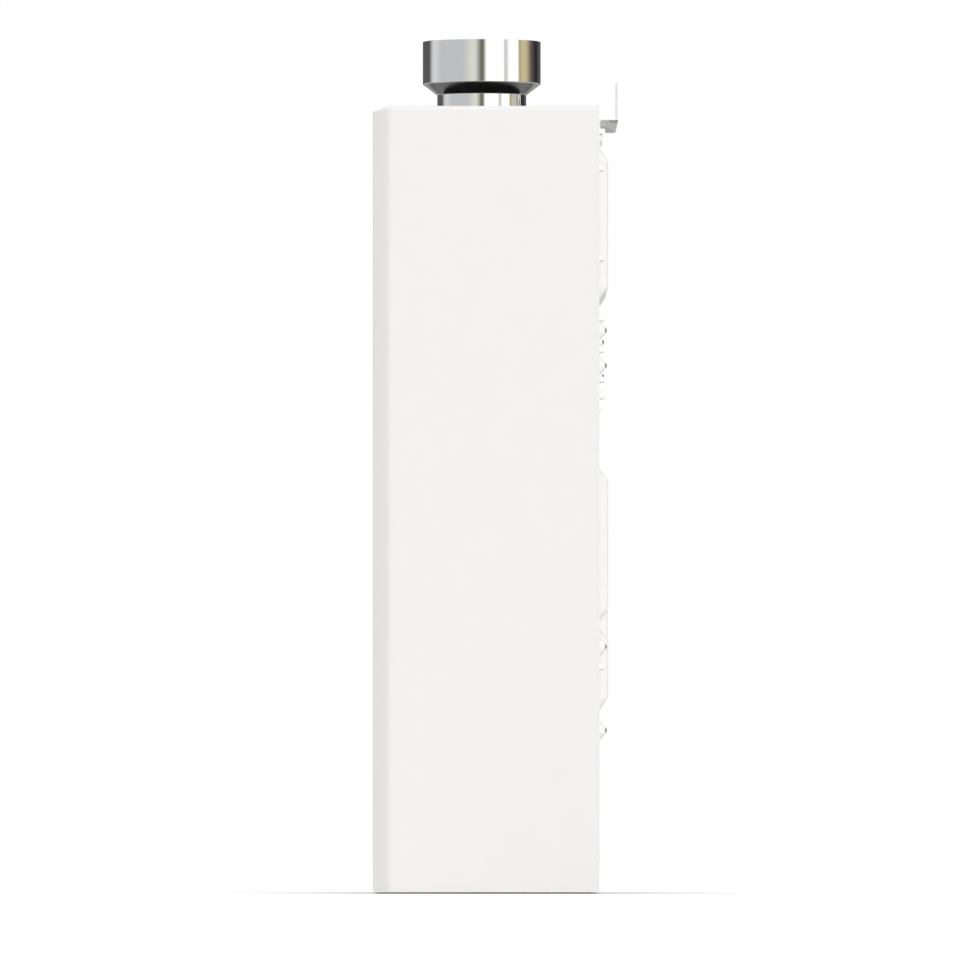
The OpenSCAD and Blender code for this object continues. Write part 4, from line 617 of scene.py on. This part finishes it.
def fitting_shells(x):
    """A pipe fitting: half-inch thread, hexagon under the bottom plate, and the stem above it."""
    stem = rounded_line(
        [[5.6, 33], [10.0, 33], [10.0, 61], [6.6, 61], [6.6, 51], [5.6, 51]], [0, 0.1, 0.6, 0.4, 0.2, 0], 4
    )
    return [
        thread_shell(x), hex_shell(x, FIT_Y, THREAD_TOP, RECESS_H, 15.5, 9.2),
        turned_shell(stem, (x, FIT_Y, 0), sides=48),
    ]


def gland_shells():
    """The cord gland: a hexagon under the plate, a ribbed clamping dome below it, radius(t, z) = dome(z) less
    0.35 in each of 18 flutes, and the nut above the plate."""
    low, high, crown = GLAND_LOW, GLAND_HEX_Z, 29.5
    t = around(144)
    z = np.linspace(low, high, 22)[:, None]
    bulge = np.sqrt(np.clip(1 - ((crown - z) / 6.2) ** 2, 0, 1)) * (z < crown) + (z >= crown)
    ribs = 0.35 * np.clip((z - 25.2) / 1.5, 0, 1) * np.clip((high - z) / 0.8, 0, 1)
    wall = round_points(5.4 + 4.2 * bulge - ribs * (0.5 - 0.5 * np.cos(18 * t)) ** 2, z, t)
    line = np.array([[GLAND_BORE, high], [GLAND_BORE, low + 0.6], [GLAND_BORE + 0.6, low]])
    bore = round_points(line[:, :1], line[:, 1:], t)
    dome = grid_shell(np.concatenate([wall, bore]) + (GLAND_X, GLAND_Y, 0), ring_rows=True, ring_cols=True)
    corners = [[GLAND_BORE, high], [7.0, high], [7.0, GLAND_TOP], [GLAND_BORE, GLAND_TOP]]
    neck = rounded_line(corners, [0, 0.2, 0.2, 0], 3)
    heights = ((high, RECESS_H), (RECESS_H + SHEET, GLAND_TOP))
    collars = [hex_shell(GLAND_X, GLAND_Y, a, b, 10.0, 4.0) for a, b in heights]
    return [dome, *collars, turned_shell(neck, (GLAND_X, GLAND_Y, 0), sides=48)]


def handle_shells():
    """The drain handle: a fluted hub, radius(t) = 7 less 0.4 in each of 12 flutes, and a round-ended wing."""
    t = around(96)
    line = np.array([
        [0, 9.0], [HUB_BORE, 9.0], [HUB_BORE, 21.0], [6.4, 21.0],
        [HUB_R, 20.4], [HUB_R, 8.6], [6.4, 8.0], [0, 8.0],
    ])
    base, z = line[:, :1], line[:, 1:]
    flute = 0.4 * ((base > HUB_R - 0.1) & (z < 20.5)) * (0.5 - 0.5 * np.cos(12 * t)) ** 2
    hub = round_points(base - flute, z, t) + (DRAIN_X, FIT_Y, 0)
    wing = rounded_outline(14.0, 2.0, 1.99, 6)
    reach = np.where(wing[:, 0] > 0, wing[:, 0], 3.4)
    levels = [(8.0, 0.9), (8.3, 0.97), (9.0, 1.0), (17.0, 1.0), (17.7, 0.97), (18.0, 0.9)]
    outlines = [np.stack([reach * s, wing[:, 1]], 1) for s in (-1, 1)]
    halves = [
        stacked_slab(outline, levels, lambda u, v, h: (DRAIN_X + u, FIT_Y + v, h)) for outline in outlines
    ]
    return [grid_shell(hub, ring_cols=True), *halves]


def spring_shell(x):
    """A return spring: a wire wound about an upright axis, point(a, k) = (mean + wire cos k) turned by a, at
    a height that is a soft ramp of the turns, so that the end turns lie flat. The wire closes to its own axis
    at both ends."""
    a = np.linspace(0, TURN * SPRING_TURNS, 32 * SPRING_TURNS + 1)
    a = np.concatenate([a[:1], a, a[-1:]])[:, None]
    thick = np.full(a.shape, SPRING_WIRE)
    thick[[0, -1]] = 0
    k = around(12)
    climb = soft_ramp((a / TURN - 0.75) / (SPRING_TURNS - 1.5), 0.1)
    z = SPRING_LOW + (SPRING_TOP - SPRING_LOW) * climb + thick * np.sin(k)
    r = SPRING_R + thick * np.cos(k)
    return grid_shell(np.stack([x + r * np.cos(a), FIT_Y + r * np.sin(a), z], -1), ring_cols=True)


# Finishes


def rgba(shade):
    """A colour, or a number as a grey, with its fourth value."""
    return (*(shade if np.ndim(shade) else (shade,) * 3), 1.0)


def add_node(tree, kind, settings=(), links=()):
    """A new node in a tree, with settings by property or socket and links of (other output, own socket)."""
    node = tree.nodes.new(kind)
    for key, value in dict(settings).items():
        if isinstance(key, str) and hasattr(node, key):
            setattr(node, key, value)
        else:
            node.inputs[key].default_value = value
    for source, target in links:
        tree.links.new(source, node.inputs[target])
    return node


def add_ramp(tree, value, stops):
    """A ramp of a value through stops of (position, shade)."""
    ramp = add_node(tree, "ShaderNodeValToRGB", links=[(value, "Fac")])
    elements = ramp.color_ramp.elements
    elements.remove(elements[0])
    elements[0].position, elements[0].color = stops[0][0], rgba(stops[0][1])
    for at, shade in stops[1:]:
        elements.new(at).color = rgba(shade)
    return ramp.outputs["Color"]


def between(tree, value, low, high):
    """A ramp from low at 0.3 to high at 0.7 of a value, for a colour or a number."""
    return add_ramp(tree, value, [(0.3, low), (0.7, high)])


def speckle(tree, scale, detail, stretch):
    """Noise over Object coordinates, in cells of 1 / scale metres, stretched along the axes."""
    place = add_node(tree, "ShaderNodeTexCoord")
    turn = add_node(tree, "ShaderNodeMapping", {"Scale": stretch}, [(place.outputs["Object"], "Vector")])
    noise = {"Scale": scale, "Detail": detail}
    return add_node(tree, "ShaderNodeTexNoise", noise, [(turn.outputs["Vector"], "Vector")]).outputs["Fac"]


def new_finish(name, colour, metallic=0.0, roughness=0.5, sockets=()):
    """A new material with its shader's constants set on the shader's own sockets."""
    material = bpy.data.materials.new(name)
    material.use_nodes = True
    shader = material.node_tree.nodes["Principled BSDF"]
    constants = {"Base Color": rgba(colour), "Metallic": metallic, "Roughness": roughness, **dict(sockets)}
    for socket, value in constants.items():
        shader.inputs[socket].default_value = value
    return material


def feed(material, socket, value):
    """Links a value to a socket of the material's shader."""
    tree = material.node_tree
    tree.links.new(value, tree.nodes["Principled BSDF"].inputs[socket])


def textured(name, colour, metallic, roughness, spread, grain, bump, tint, stretch=(1, 1, 1), sockets=()):
    """A finish whose colour, gloss and relief vary with noise: grain is the cells per metre, bump the
    relief's height in millimetres, spread the change in roughness and tint the change in colour."""
    material = new_finish(name, colour, metallic, roughness, sockets)
    tree = material.node_tree
    dark, pale = np.array(colour) * (1 - tint), np.minimum(np.array(colour) * (1 + tint), 1)
    wide, fine = speckle(tree, grain / 12, 3.0, stretch), speckle(tree, grain, 2.0, stretch)
    feed(material, "Base Color", between(tree, wide, dark, pale))
    feed(material, "Roughness", between(tree, fine, roughness - spread, roughness + spread))
    if bump:
        depth = {"Strength": 0.6, "Distance": bump * MM}
        relief = add_node(tree, "ShaderNodeBump", depth, [(fine, "Height")])
        feed(material, "Normal", relief.outputs["Normal"])
    return material


def zinc(name, colour, grain, metallic, roughness):
    """Zinc plating: crystals from a cell pattern shift its gloss."""
    material = textured(name, colour, metallic, roughness, 0.05, 900, 0.006, 0.05)
    tree = material.node_tree
    place = add_node(tree, "ShaderNodeTexCoord")
    cells = add_node(tree, "ShaderNodeTexVoronoi", {"Scale": grain}, [(place.outputs["Object"], "Vector")])
    split = add_node(tree, "ShaderNodeSeparateColor", links=[(cells.outputs["Color"], "Color")])
    feed(material, "Roughness", between(tree, split.outputs["Red"], roughness - 0.05, roughness + 0.05))
    return material


def polished(name, bright, dark):
    """Polished steel tube with a duller cone, its darker shade painted to stand in for the dim surroundings
    it mirrors: shade and roughness are ramps of the height.
    """
    material = new_finish(name, (bright,) * 3, 1.0)
    tree = material.node_tree
    place = add_node(tree, "ShaderNodeTexCoord")
    height = add_node(tree, "ShaderNodeSeparateXYZ", links=[(place.outputs["Object"], "Vector")])
    cone = {"From Min": 0.545, "From Max": 0.565}
    share = add_node(tree, "ShaderNodeMapRange", cone, [(height.outputs["Z"], "Value")])
    # The cone's darker colour is painted shade, a stand-in for the dim surroundings it mirrors; its higher
    # roughness is its duller finish
    for socket, plain, drawn in (("Base Color", bright, dark), ("Roughness", 0.05, 0.16)):
        stops = [(0.2, plain), (0.27, drawn), (0.58, drawn), (0.64, plain)]
        feed(material, socket, add_ramp(tree, share.outputs["Result"], stops))
    return material


def glowing(name, colour, strength):
    """A lit sign: a dark face that gives off its colour."""
    light = {"Emission Color": rgba(colour), "Emission Strength": strength}
    return new_finish(name, tuple(0.2 * c for c in colour), 0.0, 0.4, light)


# Textured finishes by slot: colour, metallic, roughness, its spread, grain, bump and tint, then stretch and
# sockets if any
TEXTURED = {
    "casing_paint": (
        (0.86, 0.852, 0.838), 0.0, 0.42, 0.04, 700, 0.012, 0.006, (1, 1, 1),
        {"Coat Weight": 0.08, "Coat Roughness": 0.25},
    ),
    "panel_paint": ((0.87, 0.866, 0.858), 0.0, 0.46, 0.04, 700, 0.012, 0.008),
    "screw_steel": ((0.2, 0.2, 0.21), 1.0, 0.4, 0.08, 1500, 0.01, 0.1),
    "core_steel": ((0.6, 0.6, 0.61), 1.0, 0.38, 0.08, 600, 0.01, 0.06, (1, 1, 0.06)),
    "motor_steel": ((0.09, 0.095, 0.105), 0.0, 0.5, 0.06, 800, 0.02, 0.08),
    "copper": ((0.62, 0.3, 0.17), 1.0, 0.36, 0.1, 300, 0.01, 0.18),
    "brass": ((0.66, 0.47, 0.18), 1.0, 0.3, 0.08, 900, 0.008, 0.08),
    "cast_alloy": ((0.55, 0.56, 0.57), 1.0, 0.55, 0.08, 1400, 0.04, 0.06),
    "coil_winding": ((0.015, 0.016, 0.018), 0.0, 0.45, 0.08, 900, 0.02, 0.1),
    "seal_rubber": ((0.012, 0.012, 0.013), 0.0, 0.7, 0.08, 1200, 0.02, 0.15),
    "clear_hose": ((0.72, 0.72, 0.7), 0.0, 0.35, 0.05, 400, 0.0, 0.04),
    "ivory_plastic": ((0.72, 0.67, 0.52), 0.0, 0.45, 0.05, 1200, 0.02, 0.04),
    "dark_plastic": ((0.018, 0.018, 0.02), 0.0, 0.48, 0.07, 1600, 0.03, 0.1),
    "filter_plastic": ((0.72, 0.74, 0.76), 0.0, 0.4, 0.05, 1200, 0.02, 0.04),
    "display_gloss": (
        (0.006, 0.006, 0.007), 0.0, 0.07, 0.02, 200, 0.0, 0.1, (1, 1, 1), {"Specular IOR Level": 0.3},
    ),
    "button_plastic": ((0.02, 0.02, 0.022), 0.0, 0.4, 0.05, 1800, 0.02, 0.08),
    "circuit_board": ((0.012, 0.09, 0.035), 0.0, 0.35, 0.06, 500, 0.02, 0.2),
    "white_ceramic": ((0.82, 0.8, 0.75), 0.0, 0.4, 0.06, 900, 0.02, 0.03),
    "lead_sheath": ((0.015, 0.015, 0.016), 0.0, 0.55, 0.06, 900, 0.02, 0.1),
}
FINISHES = {name: textured(name, *values) for name, values in TEXTURED.items()}
FINISHES["hanger_zinc"] = zinc("hanger_zinc", (0.84, 0.845, 0.85), 160, 0.35, 0.5)
# The cone gets 0.21 instead of 0.88: painted shade for the dim surroundings it mirrors
FINISHES["flue_chrome"] = polished("flue_chrome", 0.88, 0.21)
RING_STEEL = textured("ring_steel", (0.86, 0.86, 0.86), 1.0, 0.42, 0.08, 600, 0.008, 0.06)
# A glossier copy of the hanger's zinc for the gussets, which are the same sheet: the glossier finish mirrors
# the darker studio, and the darker colour is painted shade
SHADED_GUSSET_ZINC = zinc("shaded_gusset_zinc", (0.66, 0.665, 0.66), 160, 1.0, 0.25)
LIT_WHITE = glowing("lit_white", (0.85, 0.95, 1.0), 1.6)
LIT_AMBER = glowing("lit_amber", (1.0, 0.45, 0.08), 1.6)
SIGN_WHITE = textured("sign_white", (0.75, 0.75, 0.74), 0.0, 0.45, 0.04, 1500, 0.0, 0.03)

for part in frame["record"]["subparts"]:
    solid = frame["nodes"][part["node"]]
    solid.data.materials.clear()
    solid.data.materials.append(FINISHES[part["material_slot"]])

# Pieces, most of which take the place of plain solids

make_piece("cover_sheet", cover_shells(), "casing", "casing_paint", ["front_cover"], wall=SHEET, edge=RIM_R)
make_piece("cover_tabs", tab_shells(), "casing", "casing_paint")
make_piece(
    "pressed_back", back_panel_shells(), "casing", "panel_paint", ["back_panel"], wall=SHEET, edge=RIM_R
)
make_piece("panel_bridges", bridge_shells(), "casing", "panel_paint", sharp=50)
make_piece("hanger_strip", hanger_shells(), "casing", "hanger_zinc", ["wall_hanger"], wall=HANG_T, edge=0.15)
# The gussets take the darker zinc, whose colour is painted shade
make_piece("hanger_gussets", gusset_shells(), "casing", "hanger_zinc", finish=SHADED_GUSSET_ZINC)
make_piece("flue_tube", flue_shells(), "casing", "flue_chrome", ["flue_adapter"])
make_piece("flue_ring", trim_ring_shells(), "casing", "core_steel", ["flue_trim_ring"], RING_STEEL)
make_piece("ring_rivets", rivet_shells(), "casing", "core_steel", sharp=50)
make_piece(
    "display_face", panel_shells(), "casing", "display_gloss", ["display_panel"], wall=PANEL_T, edge=0.3
)
make_piece("display_frame", panel_frame_shells(), "casing", "dark_plastic")
degree = band_shell(1.5, 0.9, 0, 360, front_place(-16.5, DISPLAY_Z + 9, PANEL_Y, LIT_Y))
figures = [*figure_shells("fgbc", -45.0), *figure_shells("abged", -29.0), degree]
make_piece("set_figures", figures, "casing", "display_gloss", finish=LIT_WHITE)
flame = lit_slab(drop_outline(5.6, 8.4, 1.2), -4.0, DISPLAY_Z + 7)
make_piece("flame_sign", [flame], "casing", "display_gloss", finish=LIT_AMBER)
water = lit_slab(drop_outline(5.0, 7.0), -4.0, DISPLAY_Z - 7)
make_piece("water_sign", [water], "casing", "display_gloss", finish=LIT_WHITE)
for kind, x in BUTTON_XS.items():
    make_piece(f"{kind}_cap", button_shells(x), f"{kind}_key", "button_plastic", [f"{kind}_button"])
    make_piece(f"{kind}_sign", sign_shells(kind, x), f"{kind}_key", "button_plastic", finish=SIGN_WHITE)
for name, x in (("hot_outlet", -FIT_SPAN), ("gas_inlet", 0.0), ("cold_inlet", FIT_SPAN)):
    make_piece(f"{name}_end", fitting_shells(x), "casing", "brass", [f"{name}_fitting"], sharp=25)
make_piece("gland_body", gland_shells(), "casing", "dark_plastic", ["cord_gland"])
for name, x in (("inlet", -COIL_X), ("main", COIL_X)):
    spring = make_piece(f"{name}_return", [spring_shell(x)], "casing", "core_steel", [f"{name}_spring"])
    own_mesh(spring)
make_piece("drain_wing", handle_shells(), "drain_lever", "dark_plastic", ["drain_handle"])


# Studio

FLOOR_SHADE, FLOOR_GLOW, FLOOR_Z, FLOOR_HALF = 0.4, 0.72, -0.0013, 40.0
SKY_LIGHT = 0.52
TENT_R, TENT_LOW, TENT_TOP = 3.0, 0.02, 2.6

# Cards that the polished flue mirrors: first and last azimuth in degrees, from the camera towards the
# heater's back, and shade. Between two cards the shade runs evenly from one to the other.
TENT_CARDS = (
    (-180, -124, (0.1, 0.1, 0.1)),
    (-110, -100, (0.7, 0.71, 0.71)),
    (-88, -36, (0.58, 0.585, 0.6)),
    (-20, -13, (0.76, 0.77, 0.68)),
    (-2, 3, (0.17, 0.18, 0.15)),
    (10, 42, (1.25, 1.25, 1.2)),
    (46, 48, (0.62, 0.62, 0.6)),
    (57, 74, (1.25, 1.27, 1.27)),
    (79, 80, (0.45, 0.39, 0.22)),
    (86, 96, (0.62, 0.54, 0.31)),
    (112, 113, (0.13, 0.11, 0.1)),
    (127, 138, (0.03, 0.03, 0.03)),
    (150, 180, (0.1, 0.1, 0.1)),
)


def studio_surface(name, points, faces, material):
    """A surface of the studio, which isn't part of the heater."""
    mesh = bpy.data.meshes.new(name)
    mesh.from_pydata(np.asarray(points, float).tolist(), [], np.asarray(faces).tolist())
    mesh.materials.append(material)
    surface = bpy.data.objects.new(name, mesh)
    bpy.context.scene.collection.objects.link(surface)
    return surface


def studio_finish(name):
    """A new material with an empty tree."""
    material = bpy.data.materials.new(name)
    material.use_nodes = True
    material.node_tree.nodes.clear()
    return material


def seen_rays(tree):
    """1 for camera, glossy and transmission rays, 0 for the rays that light the scene."""
    path = add_node(tree, "ShaderNodeLightPath")
    total = path.outputs["Is Camera Ray"]
    for kind in ("Is Glossy Ray", "Is Transmission Ray"):
        both = {"operation": "ADD", "use_clamp": True}
        total = add_node(tree, "ShaderNodeMath", both, [(total, 0), (path.outputs[kind], 1)]).outputs[0]
    return total


def pale_floor():
    """Matt pale floor that takes shadows, with its own light where it is seen, dimmed near the heater: a
    painted contact shadow.
    """
    material = studio_finish("pale_floor")
    tree = material.node_tree
    matt = add_node(tree, "ShaderNodeBsdfDiffuse", {"Color": rgba(FLOOR_SHADE)})
    # Painted contact shadow: ambient occlusion dims the floor's own light next to the heater
    open_sky = add_node(tree, "ShaderNodeAmbientOcclusion", {"samples": 32, "Distance": 0.14})
    deepened = add_node(tree, "ShaderNodeMath", {"operation": "POWER", 1: 1.6}, [(open_sky.outputs["AO"], 0)])
    own_light = [(seen_rays(tree), 0), (deepened.outputs[0], 1)]
    strength = add_node(tree, "ShaderNodeMath", {"operation": "MULTIPLY"}, own_light).outputs[0]
    glow = add_node(tree, "ShaderNodeEmission", {"Color": rgba(FLOOR_GLOW)}, [(strength, "Strength")])
    both = add_node(tree, "ShaderNodeAddShader", links=[(matt.outputs[0], 0), (glow.outputs[0], 1)])
    add_node(tree, "ShaderNodeOutputMaterial", links=[(both.outputs[0], "Surface")])
    return material


def tent_finish():
    """Shades of the light tent by direction: azimuth = atan2(y, x), looked up in the list of cards."""
    material = studio_finish("tent_shades")
    tree = material.node_tree
    place = add_node(tree, "ShaderNodeTexCoord")
    split = add_node(tree, "ShaderNodeSeparateXYZ", links=[(place.outputs["Object"], 0)])
    across = [(split.outputs["Y"], 0), (split.outputs["X"], 1)]
    angle = add_node(tree, "ShaderNodeMath", {"operation": "ARCTAN2"}, across)
    as_share = {"operation": "MULTIPLY_ADD", 1: 1 / TURN, 2: 0.5}
    share = add_node(tree, "ShaderNodeMath", as_share, [(angle.outputs[0], 0)])
    stops = [((azimuth + 180) / 360, shade) for first, last, shade in TENT_CARDS for azimuth in (first, last)]
    shades = add_ramp(tree, share.outputs[0], stops)
    glow = add_node(tree, "ShaderNodeEmission", links=[(shades, "Color")])
    add_node(tree, "ShaderNodeOutputMaterial", links=[(glow.outputs[0], "Surface")])
    return material


def soft_sun(name, azimuth, elevation, strength, spread):
    """A broad even light from an azimuth measured as the tent's, and an elevation."""
    lamp = bpy.data.lights.new(name, "SUN")
    lamp.energy, lamp.angle = strength, math.radians(spread)
    light = bpy.data.objects.new(name, lamp)
    a, e = math.radians(azimuth), math.radians(elevation)
    towards = Vector((math.cos(e) * math.cos(a), math.cos(e) * math.sin(a), math.sin(e)))
    light.rotation_mode = "QUATERNION"
    light.rotation_quaternion = towards.to_track_quat("Z", "Y")
    light.location = towards * 4
    bpy.context.scene.collection.objects.link(light)
    light.visible_glossy = False


floor_corners = [[FLOOR_HALF * a, FLOOR_HALF * b, FLOOR_Z] for a, b in ((-1, -1), (1, -1), (1, 1), (-1, 1))]
studio_surface("floor", floor_corners, [[0, 1, 2, 3]], pale_floor())
tent_rings = round_points(np.full((2, 1), TENT_R), np.array([[TENT_LOW], [TENT_TOP]]), around(180))
tent = studio_surface("light_tent", *grid_shell(tent_rings, ring_cols=True), tent_finish())
for rays in ("camera", "diffuse", "shadow", "transmission", "volume_scatter"):
    setattr(tent, f"visible_{rays}", False)

world = bpy.data.worlds.new("studio")
bpy.context.scene.world = world
world.use_nodes = True
sky = world.node_tree
background = sky.nodes["Background"]
background.inputs["Color"].default_value = rgba(1.0)
level = add_node(sky, "ShaderNodeMapRange", {"To Min": SKY_LIGHT, "To Max": 1.0}, [(seen_rays(sky), "Value")])
sky.links.new(level.outputs["Result"], background.inputs["Strength"])

soft_sun("key_light", 33, 12, 2.6, 40)
soft_sun("front_fill", -125, 24, 1.85, 60)

# Camera just above the floor, about ten metres off the heater's side
CAMERA_AT, CAMERA_AIM = Vector((9.9415, -0.0112, 0.025)), Vector((0.165, -0.0112, 0.27949))
lens = bpy.data.cameras.new("camera")
lens.sensor_fit, lens.sensor_width, lens.lens = "HORIZONTAL", 36.0, 540.0
lens.clip_start, lens.clip_end = 0.1, 200.0
camera = bpy.data.objects.new("camera", lens)
camera.location = CAMERA_AT
camera.rotation_mode = "QUATERNION"
camera.rotation_quaternion = (CAMERA_AIM - CAMERA_AT).to_track_quat("-Z", "Y")
bpy.context.scene.collection.objects.link(camera)
bpy.context.scene.camera = camera
bpy.context.scene.view_settings.view_transform = "Standard"
